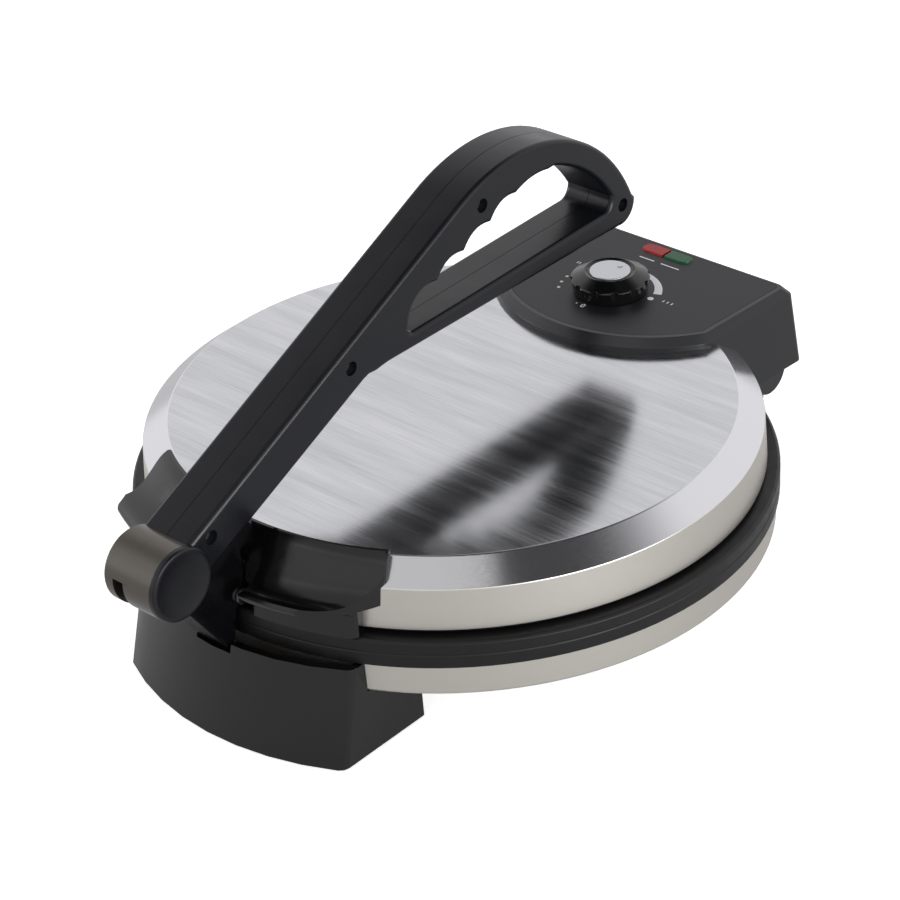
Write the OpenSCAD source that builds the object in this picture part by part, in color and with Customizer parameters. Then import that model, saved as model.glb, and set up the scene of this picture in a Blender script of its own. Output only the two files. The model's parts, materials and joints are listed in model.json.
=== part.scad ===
// Electric roti maker: a round flatbread press with two heated plates, a steel lid hinged
// at the back, a folding two-shell press lever at the front and a control housing on the lid.
// Sizes are in millimetres. The drawing frame has Y = 0 on the axis of the round lid, and
// every piece is moved back by y_shift so that the whole object is centred on its base.

/* [Lid] */
// Radius of the flat brushed top of the lid
lid_top_r = 130; // [126:0.5:132]
// Radius where the polished bevel ends and the skirt starts
lid_edge_r = 142; // [140:0.5:143]
// Radius of the lower end of the skirt
lid_skirt_r = 143; // [142.5:0.5:144]
// Height of the flat top above the table
lid_top_z = 91; // [90:0.5:93]
// Height of the outer edge of the bevel
lid_edge_z = 81.5; // [80:0.5:83]
// Height of the lower end of the skirt
lid_skirt_z = 62; // [61.5:0.1:63]
// Thickness of the lid and pan sheet steel
sheet_t = 0.8; // [0.5:0.1:1.2]

/* [Base] */
// Outer radius of the black band round the base
band_r = 149; // [148:0.5:151]
// Height of the top of the band
band_top_z = 60; // [59:0.1:60.2]
// Height of the lower edge of the band
band_low_z = 47; // [45:0.5:48]
// Outer radius of the steel pan
pan_r = 147.4; // [146.5:0.1:147.6]
// Height of the underside of the pan
pan_floor_z = 32; // [28:0.5:34]

/* [Plates] */
// Radius of the two baking plates
plate_r = 129.8; // [126:0.1:130]
// Thickness of a baking plate
plate_t = 8; // [7:0.5:9]
// Height of the middle of the lower baking face
bake_z = 58.2; // [57.5:0.1:58.4]
// Gap between the plates with the lid shut
plate_gap = 2; // [1.8:0.1:2.4]
// Radius of the ring of the heating elements
element_r = 86; // [78:1:90]

/* [Feet] */
// Half width of the front foot at the table
foot_half_w = 66.7; // [60:0.1:68]
// Radius of the bowed front of the foot
foot_bow_r = 140; // [130:1:150]
// Height of the top edge of the front foot
foot_top_z = 46.5; // [45:0.1:46.6]
// Wall of the moulded feet
foot_wall = 3.5; // [3:0.1:4]

/* [Lever] */
// Half width of the lever
lever_half_w = 14; // [13.5:0.1:14.5]
// Height of the highest point of the lever's side faces
lever_apex_z = 201; // [196:1:204]
// How much higher the top of the lever is at its seam than at its sides
lever_crown = 2.4; // [1.5:0.1:3]
// Slope of the top of the lever arm in degrees
arm_tilt = 26.1; // [25.6:0.1:26.6]
// Radius of the barrel that the lever turns on
barrel_r = 16.7; // [16:0.1:17.2]
// How far the lever is thrown forward, in degrees
lever_throw = 114; // [90:1:114]
// Depth of the finger grooves in the grip
groove_depth = 3; // [2:0.25:4]
// Wall of the two handle shells
shell_wall = 2.5; // [2:0.1:3]

/* [Control housing] */
// Radius of the bowed front of the housing
housing_bow_r = 78; // [76:0.5:79]
// Half width of the housing where the bow meets its sides
housing_half_w = 66; // [64:0.5:67]
// Height of the panel on top of the housing
panel_z = 97.5; // [97:0.5:99]
// Radius of the knob
knob_r = 19.1; // [17.5:0.1:21]

/* [Hidden] */

$fn = 96;
eps = 0.01;
// Running clearance of the pins in their holes, on the radius
run = 0.06;

// Places of the joints, as [y, z] in the drawing frame
hinge = [152, 58];
link_pivot = [-147.5, 66];
barrel = [-184.6, 93.7];
knob_x = 0;
knob_y = 115;

// Rear limit of the housing at its lower edge, and the shift that centres the object
housing_rear_top = 170;
housing_rear_low = 174.5;
y_front = barrel[0] - barrel_r;
y_shift = -(y_front + housing_rear_low) / 2;

// Underside of the lever arm, as a height at y
under_slope = 0.47;
function under(y) = 93.3 + under_slope * (y + 162);
bar_low_z = 138.5;

// ---------------------------------------------------------------- shared shapes

// Points of an arc round c with radius r from angle a0 to a1, in n steps
function arc(c, r, a0, a1, n) =
    [for (i = [0:n]) let (a = a0 + (a1 - a0) * i / n) c + r * [cos(a), sin(a)]];

// The closed outline pts, which runs counter-clockwise, moved inwards by d
function unit(v) = v / norm(v);
function inward(p, q) = let (u = unit(q - p)) [-u[1], u[0]];
function inset(pts, d) = [
    for (i = [0:len(pts) - 1])
        let (
            n = len(pts),
            before = inward(pts[(i + n - 1) % n], pts[i]),
            after = inward(pts[i], pts[(i + 1) % n]),
            mid = unit(before + after)
        )
        pts[i] + mid * d / max(0.5, mid * before)
];

// Everything is drawn round the lid axis and moved to its place by this module
module place() {
    translate([0, y_shift, 0]) children();
}

// A side outline given as [y, z] points, extruded along X from x0 to x1
module side_slab(pts, x0, x1) {
    translate([x0, 0, 0])
        rotate([90, 0, 90])
            linear_extrude(height = x1 - x0) polygon(pts);
}

// A cylinder along X round the point at = [y, z]
module x_rod(at, r, x0, x1) {
    translate([x0, at[0], at[1]])
        rotate([0, 90, 0])
            cylinder(r = r, h = x1 - x0);
}

// A cylinder along Z
module z_rod(x, y, r, z0, z1) {
    translate([x, y, z0]) cylinder(r = r, h = z1 - z0);
}

// A layer of a plan outline, as thin as the loft between two outlines needs
module layer(pts, z) {
    translate([0, 0, z]) linear_extrude(height = eps) polygon(pts);
}

// The space inside the outer surface of the lid
module lid_space() {
    rotate_extrude()
        polygon([[0, 40], [lid_skirt_r, 40], [lid_skirt_r, lid_skirt_z + 0.3],
                 [lid_edge_r, lid_edge_z - 0.3], [lid_edge_r - 0.5, lid_edge_z + 0.5],
                 [lid_top_r + 0.3, lid_top_z - 0.3], [lid_top_r - 0.8, lid_top_z], [0, lid_top_z]]);
}

// ---------------------------------------------------------------- base

pan_bend = 1.8;
pan_neck_r = 145.9;
pan_shoulder_z = band_low_z - 0.1;
pan_rim_z = band_top_z - 3.2;

// Deep-drawn stainless pan with a sharp floor edge and a stepped-in rim for the band
module base_pan() {
    inner_bend = pan_bend - sheet_t;
    outside = concat(
        [[0, pan_floor_z]],
        arc([pan_r - pan_bend, pan_floor_z + pan_bend], pan_bend, -90, 0, 6),
        [[pan_r, pan_shoulder_z - 0.6], [pan_neck_r, pan_shoulder_z], [pan_neck_r, pan_rim_z]]
    );
    inside = concat(
        [[pan_neck_r - sheet_t, pan_rim_z], [pan_neck_r - sheet_t, pan_shoulder_z - 0.8],
         [pan_r - sheet_t, pan_shoulder_z - 1.5]],
        arc([pan_r - pan_bend, pan_floor_z + pan_bend], inner_bend, 0, -90, 6),
        [[0, pan_floor_z + sheet_t]]
    );
    color("lightgray")
        place()
            difference() {
                rotate_extrude(convexity = 6) polygon(concat(outside, inside));
                foot_screw_places() z_rod(0, 0, 2.1, pan_floor_z - 1, pan_floor_z + 3);
                pan_vents();
            }
}

vent_count = 18;
// Two rings of cooling holes through the pan floor
module pan_vents() {
    for (ring = [0:1])
        for (i = [0:vent_count - 1])
            rotate([0, 0, (i + ring / 2) * 360 / vent_count])
                z_rod(40 + 12 * ring, 0, 2.5, pan_floor_z - 1, pan_floor_z + 3);
}

lip_r = 130.2;
// Heat-proof plastic band: outer rim, flat rim round the plate and the lip that holds it
module base_band() {
    lip_low_z = band_top_z - 9;
    color([0.1, 0.1, 0.11])
        place()
            rotate_extrude(convexity = 6)
                polygon([
                    [band_r, band_low_z], [band_r, 53], [band_r - 0.5, 53.4], [band_r, 53.8],
                    [band_r, band_top_z - 1.2], [band_r - 1.2, band_top_z],
                    [lip_r + 1.2, band_top_z], [lip_r, band_top_z - 1.2],
                    [lip_r, lip_low_z], [lip_r + 3, lip_low_z], [lip_r + 3, band_top_z - 3],
                    [pan_neck_r + 0.1, band_top_z - 3], [pan_neck_r + 0.1, band_low_z]
                ]);
}

flange_r = 134;
flange_t = 3;
groove_r = 3.4;
tube_r = 3.3;
lower_back_z = bake_z - plate_t - 1.7;
lower_flange_z = band_top_z - 9;

// Cast aluminium plate, slightly domed, with a flange under the lip of the band
module lower_plate() {
    boss = 3.5;
    color([0.16, 0.16, 0.17])
        place()
            difference() {
                rotate_extrude(convexity = 6)
                    polygon([
                        [0, bake_z], [50, bake_z - 0.15], [90, bake_z - 0.45], [plate_r - 2, bake_z - 1],
                        [plate_r, bake_z - 2.2], [plate_r, lower_flange_z], [flange_r, lower_flange_z],
                        [flange_r, lower_flange_z - flange_t], [element_r + 20, lower_back_z],
                        [element_r + 7, lower_back_z],
                        [element_r + 6, lower_back_z - boss], [element_r - 6, lower_back_z - boss],
                        [element_r - 7, lower_back_z], [0, lower_back_z]
                    ]);
                element_ring(lower_back_z - boss, groove_r, 360);
                end_grooves(lower_back_z - boss);
            }
}

// A ring of round tube at height z over part of a turn
module element_ring(z, r, turn) {
    rotate([0, 0, 90 + (360 - turn) / 2])
        translate([0, 0, z])
            rotate_extrude(angle = turn)
                translate([element_r, 0]) circle(r = r, $fn = 24);
}

element_gap = 24;
// Grooves for the two ends of the heating tube
module end_grooves(z) {
    for (side = [-1, 1])
        rotate([0, 0, 90 - side * element_gap / 2])
            translate([element_r, 0, z])
                rotate([0, 90, 0]) cylinder(r = groove_r, h = 12);
}

// Sheathed heating tube: an open ring with two cold ends that run out towards the back
module heating_tube(z) {
    element_ring(z, tube_r, 360 - element_gap);
    for (side = [-1, 1])
        rotate([0, 0, 90 - side * element_gap / 2])
            translate([element_r, 0, z]) {
                sphere(r = tube_r, $fn = 32);
                rotate([0, 90, 0]) cylinder(r = 2.2, h = 20);
                rotate([0, 90, 0]) cylinder(r = tube_r, h = 9);
            }
}

module lower_element() {
    color("dimgray") place() heating_tube(lower_back_z - 3.5);
}

shield_r = 97;
shield_deep = 11.5;
// Pressed aluminium dish that turns the heat back to the plate; up is 1 or -1
module shield_dish(seat_z, up) {
    far = seat_z + up * shield_deep;
    rotate_extrude(convexity = 4)
        polygon([
            [0, far], [shield_r - 3, far], [shield_r, far - up * 3], [shield_r, seat_z + up * 0.8],
            [shield_r + 5, seat_z + up * 0.8], [shield_r + 5, seat_z], [shield_r - 0.8, seat_z],
            [shield_r - 0.8, far - up * 3.3], [shield_r - 3.3, far - up * 0.8], [0, far - up * 0.8]
        ]);
}

// Cut in the wall of a dish that lets the cold ends of the heating tube out
module shield_slots(z) {
    for (side = [-1, 1])
        rotate([0, 0, 90 - side * element_gap / 2])
            translate([shield_r - 6, -5, z - 5]) cube([16, 10, 10]);
}

module lower_heat_shield() {
    color("silver")
        place()
            difference() {
                shield_dish(lower_back_z, -1);
                shield_slots(lower_back_z - 3.5);
            }
}

// ---------------------------------------------------------------- feet

foot_low_z = 1;
foot_rear_y = -100;
foot_bow_y = -27.5;
// The front leans back, so its top edge is bowed more tightly round a place of its own
foot_top_w = 65;
foot_top_bow_r = 122;
foot_top_bow_y = -36.2;
deck_t = 3.5;

// Plan of the front foot: a bowed front, rounded corners and straight sides
function foot_plan(w, bow_r, bow_y, corner) =
    let (
        c = [w - corner, bow_y - sqrt(pow(bow_r - corner, 2) - pow(w - corner, 2))],
        a = atan2(c[1] - bow_y, c[0])
    )
    concat(
        [[-w, foot_rear_y]],
        arc([-c[0], c[1]], corner, 180, 180 - a - 360, 2),
        arc([0, bow_y], bow_r, -180 - a, a, 8),
        arc(c, corner, a, 0, 2),
        [[w, foot_rear_y]]
    );

// Moulded front foot: bowed face, side walls, a deck under the pan and four corner posts
module front_foot() {
    w = foot_wall;
    wide = foot_plan(foot_half_w, foot_bow_r, foot_bow_y, 5);
    narrow = foot_plan(foot_top_w, foot_top_bow_r, foot_top_bow_y, 5);
    wide_in = foot_plan(foot_half_w - w, foot_bow_r - w, foot_bow_y, 3);
    narrow_in = foot_plan(foot_top_w - w, foot_top_bow_r - w, foot_top_bow_y, 3);
    deck_in = foot_plan(foot_half_w - w - 1, 129 - w, -32.9, 3);
    deck_z = pan_floor_z - deck_t;
    color([0.08, 0.08, 0.09])
        place()
            difference() {
                union() {
                    difference() {
                        hull() {
                            layer(wide, foot_low_z);
                            layer(narrow, foot_top_z - eps);
                        }
                        hull() {
                            layer(inset_rear(wide_in, w), foot_low_z - 1);
                            layer(inset_rear(deck_in, w), deck_z);
                        }
                        hull() {
                            layer(inset_rear(narrow_in, -20), pan_floor_z);
                            layer(inset_rear(narrow_in, -20), foot_top_z + 4);
                        }
                    }
                    for (side = [-1, 1])
                        translate([side * 48, -118, 0]) foot_post();
                    for (side = [-1, 1])
                        translate([side * 15 - 1.2, -158.5, foot_low_z + 6])
                            cube([2.4, 56, deck_z - foot_low_z - 5]);
                }
                z_rod(0, 0, pan_r + 0.2, pan_floor_z, 80);
                translate([-notch_half_w, -180, notch_z]) cube([2 * notch_half_w, 30, 20]);
                for (side = [-1, 1])
                    z_rod(side * 48, -118, 7.6, foot_low_z - 1, foot_low_z + 2.5);
                foot_screw_places() z_rod(0, 0, 2.1, deck_z - 1, pan_floor_z + 1);
            }
}

// The plan with its rear edge moved forward by d
function inset_rear(pts, d) = [for (p = pts) p[1] > foot_rear_y - 1 ? [p[0], foot_rear_y - d] : p];

module foot_post() {
    cylinder(r = 10.5, h = pan_floor_z - 1);
}

notch_half_w = 10.3;
notch_z = 42.2;

foot_screw_spots = [[-30, -122], [30, -122], [-30, 118], [30, 118]];
module foot_screw_places() {
    for (p = foot_screw_spots)
        translate([p[0], p[1], 0]) children();
}

toe_y = 165;
toe_z = 9;
rear_foot_y = 100;
hinge_ear_in = 48.5;
hinge_ear_out = 57.5;
hinge_ear_r = 9;

// Moulded rear foot: deck, sloping toes behind the pan and two hinge ears
module rear_foot() {
    w = foot_half_w - 0.7;
    deck_z = pan_floor_z - deck_t;
    outer = [[rear_foot_y, foot_low_z], [toe_y, foot_low_z], [toe_y, toe_z - 2], [toe_y - 2, toe_z],
             [136, pan_floor_z], [rear_foot_y, pan_floor_z]];
    inner = [[rear_foot_y + foot_wall, -1], [toe_y - foot_wall, -1],
             [toe_y - foot_wall, toe_z - 4], [134.5, deck_z], [rear_foot_y + foot_wall, deck_z]];
    ear = concat([[146.5, 8], [161.5, 8]], arc(hinge, hinge_ear_r, 0, 180, 16));
    color([0.08, 0.08, 0.09])
        place()
            difference() {
                union() {
                    intersection() {
                        difference() {
                            side_slab(outer, -w, w);
                            side_slab(inner, -w + foot_wall, w - foot_wall);
                        }
                        rounded_block(w, rear_foot_y - 1, toe_y, 6);
                    }
                    for (side = [-1, 1]) {
                        translate([side * 48, 114, 0]) foot_post();
                        mirror_x(side) {
                            side_slab(ear, hinge_ear_in, hinge_ear_out);
                            side_slab([[126, 8], [147, 8], [147, 21], [136, 31], [126, 31]], hinge_ear_in,
                                      hinge_ear_out);
                        }
                    }
                }
                for (side = [-1, 1])
                    mirror_x(side) x_rod(hinge, 3, hinge_ear_in - 1, hinge_ear_out + 1);
                for (side = [-1, 1])
                    z_rod(side * 48, 114, 7.6, foot_low_z - 1, foot_low_z + 2.5);
                foot_screw_places() z_rod(0, 0, 2.1, deck_z - 1, pan_floor_z + 1);
            }
}

// Draws its children as they are for side 1 and mirrored across X for side -1
module mirror_x(side) {
    if (side > 0) children();
    else mirror([1, 0, 0]) children();
}

// A block in plan from y0 to y1 with its two rear corners rounded
module rounded_block(w, y0, y1, r) {
    translate([-w, y0, -5]) cube([2 * w, y1 - y0 - r, 100]);
    translate([-w + r, y0, -5]) cube([2 * w - 2 * r, y1 - y0, 100]);
    for (side = [-1, 1])
        z_rod(side * (w - r), y1 - r, r, -5, 95);
}

module rubber_feet() {
    color([0.15, 0.15, 0.15])
        place()
            for (side = [-1, 1])
                for (y = [-118, 114])
                    translate([side * 48, y, 0])
                        rotate_extrude()
                            polygon([[0, 0], [6, 0], [7.2, 1], [7.6, foot_low_z + 2.5],
                                     [0, foot_low_z + 2.5]]);
}

// Pan-head screws that hold the two feet to the pan
module foot_screws() {
    deck_z = pan_floor_z - deck_t;
    color("gray")
        place()
            foot_screw_places()
                difference() {
                    union() {
                        z_rod(0, 0, 3.8, deck_z - 2.6, deck_z);
                        z_rod(0, 0, 2, deck_z - 1, pan_floor_z + 5);
                    }
                    for (turn = [0, 90])
                        rotate([0, 0, turn])
                            translate([-2.4, -0.5, deck_z - 3]) cube([4.8, 1, 1.6]);
                }
}

hinge_lobe_out = 68.5;
module hinge_pins() {
    color("silver")
        place()
            for (side = [-1, 1])
                mirror_x(side) x_rod(hinge, 3, hinge_ear_in - 1.5, hinge_lobe_out - 2);
}

// ---------------------------------------------------------------- lid

// Spun steel lid: flat top, bevel, skirt with an inward curl, and the thermostat hole
module lid_shell() {
    t = sheet_t;
    color("gainsboro")
        place()
            difference() {
                rotate_extrude(convexity = 6)
                    polygon([
                        [0, lid_top_z], [lid_top_r - 0.8, lid_top_z], [lid_top_r + 0.3, lid_top_z - 0.3],
                        [lid_edge_r - 0.5, lid_edge_z + 0.5], [lid_edge_r, lid_edge_z - 0.3],
                        [lid_skirt_r, lid_skirt_z + 0.3], [lid_skirt_r - 0.3, lid_skirt_z],
                        [lid_skirt_r - t, lid_skirt_z], [lid_edge_r - t, lid_edge_z - 0.9],
                        [lid_top_r - 0.6, lid_top_z - t], [0, lid_top_z - t]
                    ]);
                z_rod(knob_x, knob_y, 7, lid_top_z - 4, lid_top_z + 4);
            }
}

ring_low_z = lid_skirt_z - 1.6;
upper_face_z = bake_z + plate_gap;
upper_back_z = upper_face_z + plate_t + 0.3;

// Plastic ring inside the skirt that the upper plate hangs in
module lid_ring() {
    out_r = lid_skirt_r - sheet_t - 0.15;
    lip_top = upper_face_z + 6.8;
    color([0.1, 0.1, 0.11])
        place()
            rotate_extrude(convexity = 6)
                polygon([
                    [lip_r + 0.2, ring_low_z], [out_r - 0.7, ring_low_z], [out_r - 0.7, lid_skirt_z],
                    [out_r, lid_skirt_z + 0.3], [out_r - 0.3, lid_skirt_z + 7],
                    [out_r - 2.8, lid_skirt_z + 7], [out_r - 2.8, ring_low_z + 2.6],
                    [lip_r + 2.8, ring_low_z + 2.6], [lip_r + 2.8, lip_top], [lip_r + 0.2, lip_top]
                ]);
}

module upper_plate() {
    boss = 3.5;
    lip_top = upper_face_z + 6.8;
    color([0.16, 0.16, 0.17])
        place()
            difference() {
                rotate_extrude(convexity = 6)
                    polygon([
                        [0, upper_face_z], [plate_r - 1, upper_face_z], [plate_r, upper_face_z + 1],
                        [plate_r, lip_top], [flange_r, lip_top], [flange_r, lip_top + flange_t],
                        [126, upper_back_z], [element_r + 7, upper_back_z],
                        [element_r + 6, upper_back_z + boss], [element_r - 6, upper_back_z + boss],
                        [element_r - 7, upper_back_z], [0, upper_back_z]
                    ]);
                element_ring(upper_back_z + boss, groove_r, 360);
                end_grooves(upper_back_z + boss);
            }
}

module upper_element() {
    color("dimgray") place() heating_tube(upper_back_z + 3.5);
}

module upper_heat_shield() {
    color("silver")
        place()
            difference() {
                shield_dish(upper_back_z, 1);
                shield_slots(upper_back_z + 3.5);
            }
}

// Snap thermostat standing on the upper plate under the knob
module thermostat() {
    color([0.85, 0.82, 0.75])
        place()
            difference() {
                union() {
                    z_rod(knob_x, knob_y, 9, upper_back_z, 84);
                    z_rod(knob_x, knob_y, 5, 84, lid_top_z + 1.5);
                    translate([knob_x - 14, knob_y - 4, 76]) cube([28, 8, 4]);
                }
                z_rod(knob_x, knob_y, 3 + run, 78, lid_top_z + 3);
            }
}

module thermal_fuse() {
    color([0.9, 0.85, 0.7])
        place()
            intersection() {
                x_rod([-40, upper_back_z + 1.8], 2.2, -12, 12);
                translate([-20, -60, upper_back_z]) cube([40, 40, 10]);
            }
}

tab_inner_deg = 7;
tab_outer_deg = 30.1;
// The mounting plate of a tab ends before its lip does
tab_plate_deg = 25.8;
tab_low_z = 73.4;
// Half section of a lift tab: a scooped lip over a curved mounting plate
tab_section = [
    [143.1, 60.6], [151, 60.6], [149.8, 71.5], [151.2, tab_low_z], [158.6, tab_low_z], [160, 74.8], [160.2, 76.6],
    [159.4, 77.4], [157.8, 76.7], [154.5, 76.4], [151, 77.3], [148, 79], [145, 81.7], [142, 85.2],
    [138.6, 89.6], [135.4, 93], [133, 94.6], [131.6, 94.6], [131, 93.8], [130.4, 90.5], [140, 80],
    [141, 62], [143.1, 62]
];

module lift_tab() {
    difference() {
        intersection() {
            rotate([0, 0, -90 + tab_inner_deg])
                rotate_extrude(angle = tab_outer_deg - tab_inner_deg, convexity = 6)
                    polygon(tab_section);
            z_rod(16, -106, 56.3, 50, 100);
        }
        rotate([0, 0, -90 + tab_plate_deg])
            rotate_extrude(angle = 20)
                polygon([[140, 50], [170, 50], [170, tab_low_z], [140, tab_low_z]]);
        lid_space();
        z_rod(0, 0, lid_skirt_r, 50, lid_skirt_z + 1);
    }
}

module lift_tab_right() {
    color([0.08, 0.08, 0.09]) place() lift_tab();
}

module lift_tab_left() {
    color([0.08, 0.08, 0.09]) place() mirror([1, 0, 0]) lift_tab();
}

nose_half_w = 5.6;
nose_gap = 0.4;
// Half section of the cover that joins the two lift tabs behind the lever
saddle_section = [
    [143.1, 62], [145.5, 62], [145.3, 74], [144.2, 80], [143.2, 82.5], [142.2, 85.4], [138.6, 89.6],
    [135.4, 93], [133, 94.6], [131.6, 94.6], [131, 93.8], [130.4, 90.5], [140, 80], [141, 62]
];

// Cover over the bevel; beside the link it also runs down the skirt
module saddle() {
    span = tab_inner_deg - 0.1;
    difference() {
        rotate([0, 0, -90 - span])
            rotate_extrude(angle = 2 * span, convexity = 6) polygon(saddle_section);
        translate([-9.8, -160, 50]) cube([19.6, 40, 31]);
        translate([-9.8, -160, 50]) cube([19.6, 17.1, 50]);
        x_rod(link_pivot, 4.4, -link_half_w - 2.2, link_half_w + 2.2);
    }
}

// Press nose and cover on the front of the lid: the lever arm bears on the nose's top
module lid_nose() {
    outline = [
        [-136, 62.6], [-151, 62.6], [-154, 67], [-159.5, 78], [-161, under(-161) - nose_gap],
        [-143.5, under(-143.5) - nose_gap], [-139, 99], [-131, 90]
    ];
    color([0.08, 0.08, 0.09])
        place()
            difference() {
                union() {
                    side_slab(outline, -nose_half_w, nose_half_w);
                    saddle();
                }
                lid_space();
                x_rod(link_pivot, 2.5, -10, 10);
            }
}

link_half_w = 9;
module link_pin() {
    color("silver")
        place() {
            x_rod(link_pivot, 2.5, -link_half_w - 1.6, link_half_w + 1.6);
            for (side = [-1, 1])
                mirror_x(side) x_rod(link_pivot, 3.7, link_half_w + 0.2, link_half_w + 1.7);
        }
}

// ---------------------------------------------------------------- control housing

bow_y = 148.5;
// Plan of the housing: bowed front, slightly flared sides and rounded rear corners
function housing_plan(bow, half_front, half_rear, rear, corner) =
    let (a = asin(half_front / bow))
    concat(
        arc([0, bow_y], bow, -90 - a, -90 + a, 24),
        arc([half_rear - corner, rear - corner], corner, 0, 90, 5),
        arc([-half_rear + corner, rear - corner], corner, 90, 180, 5)
    );

edge_z = panel_z - 4;
edge_in = 3.2;
housing_low_z = 56.5;
housing_wall = 2.5;
outline_low = housing_plan(housing_bow_r + 1.5, housing_half_w + 1.5, 71, housing_rear_low, 4);
outline_mid = housing_plan(housing_bow_r, housing_half_w, 68.5, housing_rear_top, 4);
outline_top = housing_plan(housing_bow_r - edge_in, housing_half_w - edge_in, 68.5 - edge_in,
                           housing_rear_top - edge_in, 4);
panel_in = 5.5;
outline_panel = housing_plan(housing_bow_r - panel_in, housing_half_w - panel_in, 68.5 - panel_in,
                             housing_rear_top - 4.6, 3);
panel_t = 2;
roof_t = 2.5;

// Moulded housing: seated on the lid, with a chamfered top edge, cheeks beside the hinge
// and slots at the back that let the hinge ears of the rear foot through when it opens
module control_housing() {
    w = housing_wall;
    low_in = inset(outline_low, w);
    mid_in = inset(outline_mid, w);
    color([0.13, 0.13, 0.14])
        place()
            difference() {
                union() {
                    difference() {
                        union() {
                            hull() {
                                layer(outline_low, housing_low_z);
                                layer(outline_mid, edge_z);
                            }
                            hull() {
                                layer(outline_mid, edge_z);
                                layer(outline_top, panel_z - eps);
                            }
                        }
                        hull() {
                            layer(low_in, housing_low_z - 1);
                            layer(mid_in, panel_z - panel_t - roof_t);
                        }
                        translate([0, 0, panel_z - panel_t])
                            linear_extrude(height = 5) polygon(outline_panel);
                    }
                    for (side = [-1, 1])
                        mirror_x(side) {
                            x_rod(hinge, 11.5, hinge_ear_out + 1, hinge_lobe_out);
                            side_slab([[143, 58], [163.5, 58], [163.5, 72], [143, 72]],
                                      hinge_ear_out + 1, hinge_lobe_out);
                        }
                }
                lid_space();
                z_rod(0, 0, band_r + 1.5, 40, band_top_z + 1.2);
                for (side = [-1, 1])
                    mirror_x(side) {
                        x_rod(hinge, 3 + run, hinge_ear_out, hinge_lobe_out - 1.9);
                        translate([hinge_ear_in - 1.2, 160, 40])
                            cube([hinge_ear_out - hinge_ear_in + 2.2, 30, 31]);
                    }
                z_rod(knob_x, knob_y, 9, 90, 110);
                translate([pill_x - 13.2, pill_y - 3, 90]) cube([26.4, 6, 20]);
                translate([grommet[0], 150, grommet[1]])
                    rotate([-90, 0, 0]) cylinder(r = 6, h = 40);
            }
}

// Flat cover under the overhanging back of the housing
module housing_floor() {
    floor_plan = housing_plan(housing_bow_r - 3, housing_half_w - 3, 66.4, 168, 2);
    color([0.1, 0.1, 0.11])
        place()
            difference() {
                translate([0, 0, 63]) linear_extrude(height = 2) polygon(floor_plan);
                z_rod(0, 0, lid_skirt_r + 0.3, 60, 70);
                for (side = [-1, 1])
                    mirror_x(side)
                        translate([hinge_ear_in - 1.2, 90, 60])
                            cube([40, 90, 10]);
                for (x = [-38, 38])
                    z_rod(x, 158, 1.7, 60, 70);
            }
}

pill_x = 0;
pill_y = 159.6;
pill_r = 4.3;
pill_len = 29.4;

// Pill outline, cut square on the side of the middle bar when half is 1 or -1
module pill(grow, z0, z1) {
    reach = pill_len / 2 - pill_r;
    translate([pill_x - reach, pill_y - pill_r - grow, z0])
        cube([2 * reach, 2 * (pill_r + grow), z1 - z0]);
    for (side = [-1, 1])
        z_rod(pill_x + side * reach, pill_y, pill_r + grow, z0, z1);
}

// Flat panel let into the top of the housing, with a hole for the spindle and the lights
module control_panel() {
    color([0.16, 0.16, 0.18])
        place()
            difference() {
                translate([0, 0, panel_z - panel_t])
                    linear_extrude(height = panel_t) polygon(inset(outline_panel, 0.15));
                z_rod(knob_x, knob_y, 4, panel_z - 5, panel_z + 5);
                pill(0, panel_z - 5, panel_z + 5);
            }
}

// One light window: the half of the pill on the given side of the middle bar
module light_window(side) {
    intersection() {
        union() {
            pill(-0.1, panel_z - panel_t, panel_z + 0.3);
            pill(-0.7, panel_z - panel_t, panel_z + 0.8);
        }
        translate([pill_x + (side > 0 ? 0.5 : -30.5), pill_y - 20, panel_z - 10]) cube([30, 40, 30]);
    }
}

module red_window() {
    color([0.8, 0.1, 0.08]) place() light_window(-1);
}

module green_window() {
    color([0.0, 0.5, 0.2]) place() light_window(1);
}

// Two neon lamps behind the windows
module indicator_lamps() {
    lamp_r = 2.2;
    color("orange")
        place()
            for (side = [-1, 1])
                x_rod([pill_y, panel_z - panel_t - lamp_r], lamp_r, pill_x + side * 6.8 - 5,
                      pill_x + side * 6.8 + 5);
}

module terminal_block() {
    color([0.9, 0.9, 0.86])
        place()
            difference() {
                translate([-24, 149, 65]) cube([36, 13, 11]);
                for (i = [0:2])
                    z_rod(-18 + 12 * i, 155.5, 2.4, 70, 80);
                for (i = [0:2])
                    translate([-18 + 12 * i, 140, 68])
                        rotate([-90, 0, 0]) cylinder(r = 1.8, h = 40);
            }
}

grommet = [-36, 77];
cord_hole_r = 3.6;
// Rubber bush for the supply cord in the back wall
module cord_grommet() {
    color([0.12, 0.12, 0.12])
        place()
            translate([grommet[0], 0, grommet[1]])
                rotate([-90, 0, 0])
                    rotate_extrude()
                        polygon([[cord_hole_r, 167], [8, 167], [8, 168.4], [6, 169.2], [6, 172.6],
                                 [7.6, 173], [7, 174.2], [cord_hole_r, 174.2]]);
}

// Screws that hold the floor of the housing
module housing_screws() {
    color("gray")
        place()
            for (x = [-38, 38])
                translate([x, 158, 0])
                    difference() {
                        union() {
                            z_rod(0, 0, 3, 61.2, 63);
                            z_rod(0, 0, 1.6, 62, 72);
                        }
                        for (turn = [0, 90])
                            rotate([0, 0, turn]) translate([-1.9, -0.4, 60.9]) cube([3.8, 0.8, 1.2]);
                    }
}

// ---------------------------------------------------------------- link

link_gap = 3;
tongue_half = 3.8;
tongue_deg = -50;
eye_r = 9;
tongue_left = -8.2;
tongue_right = -3.2;

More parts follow.
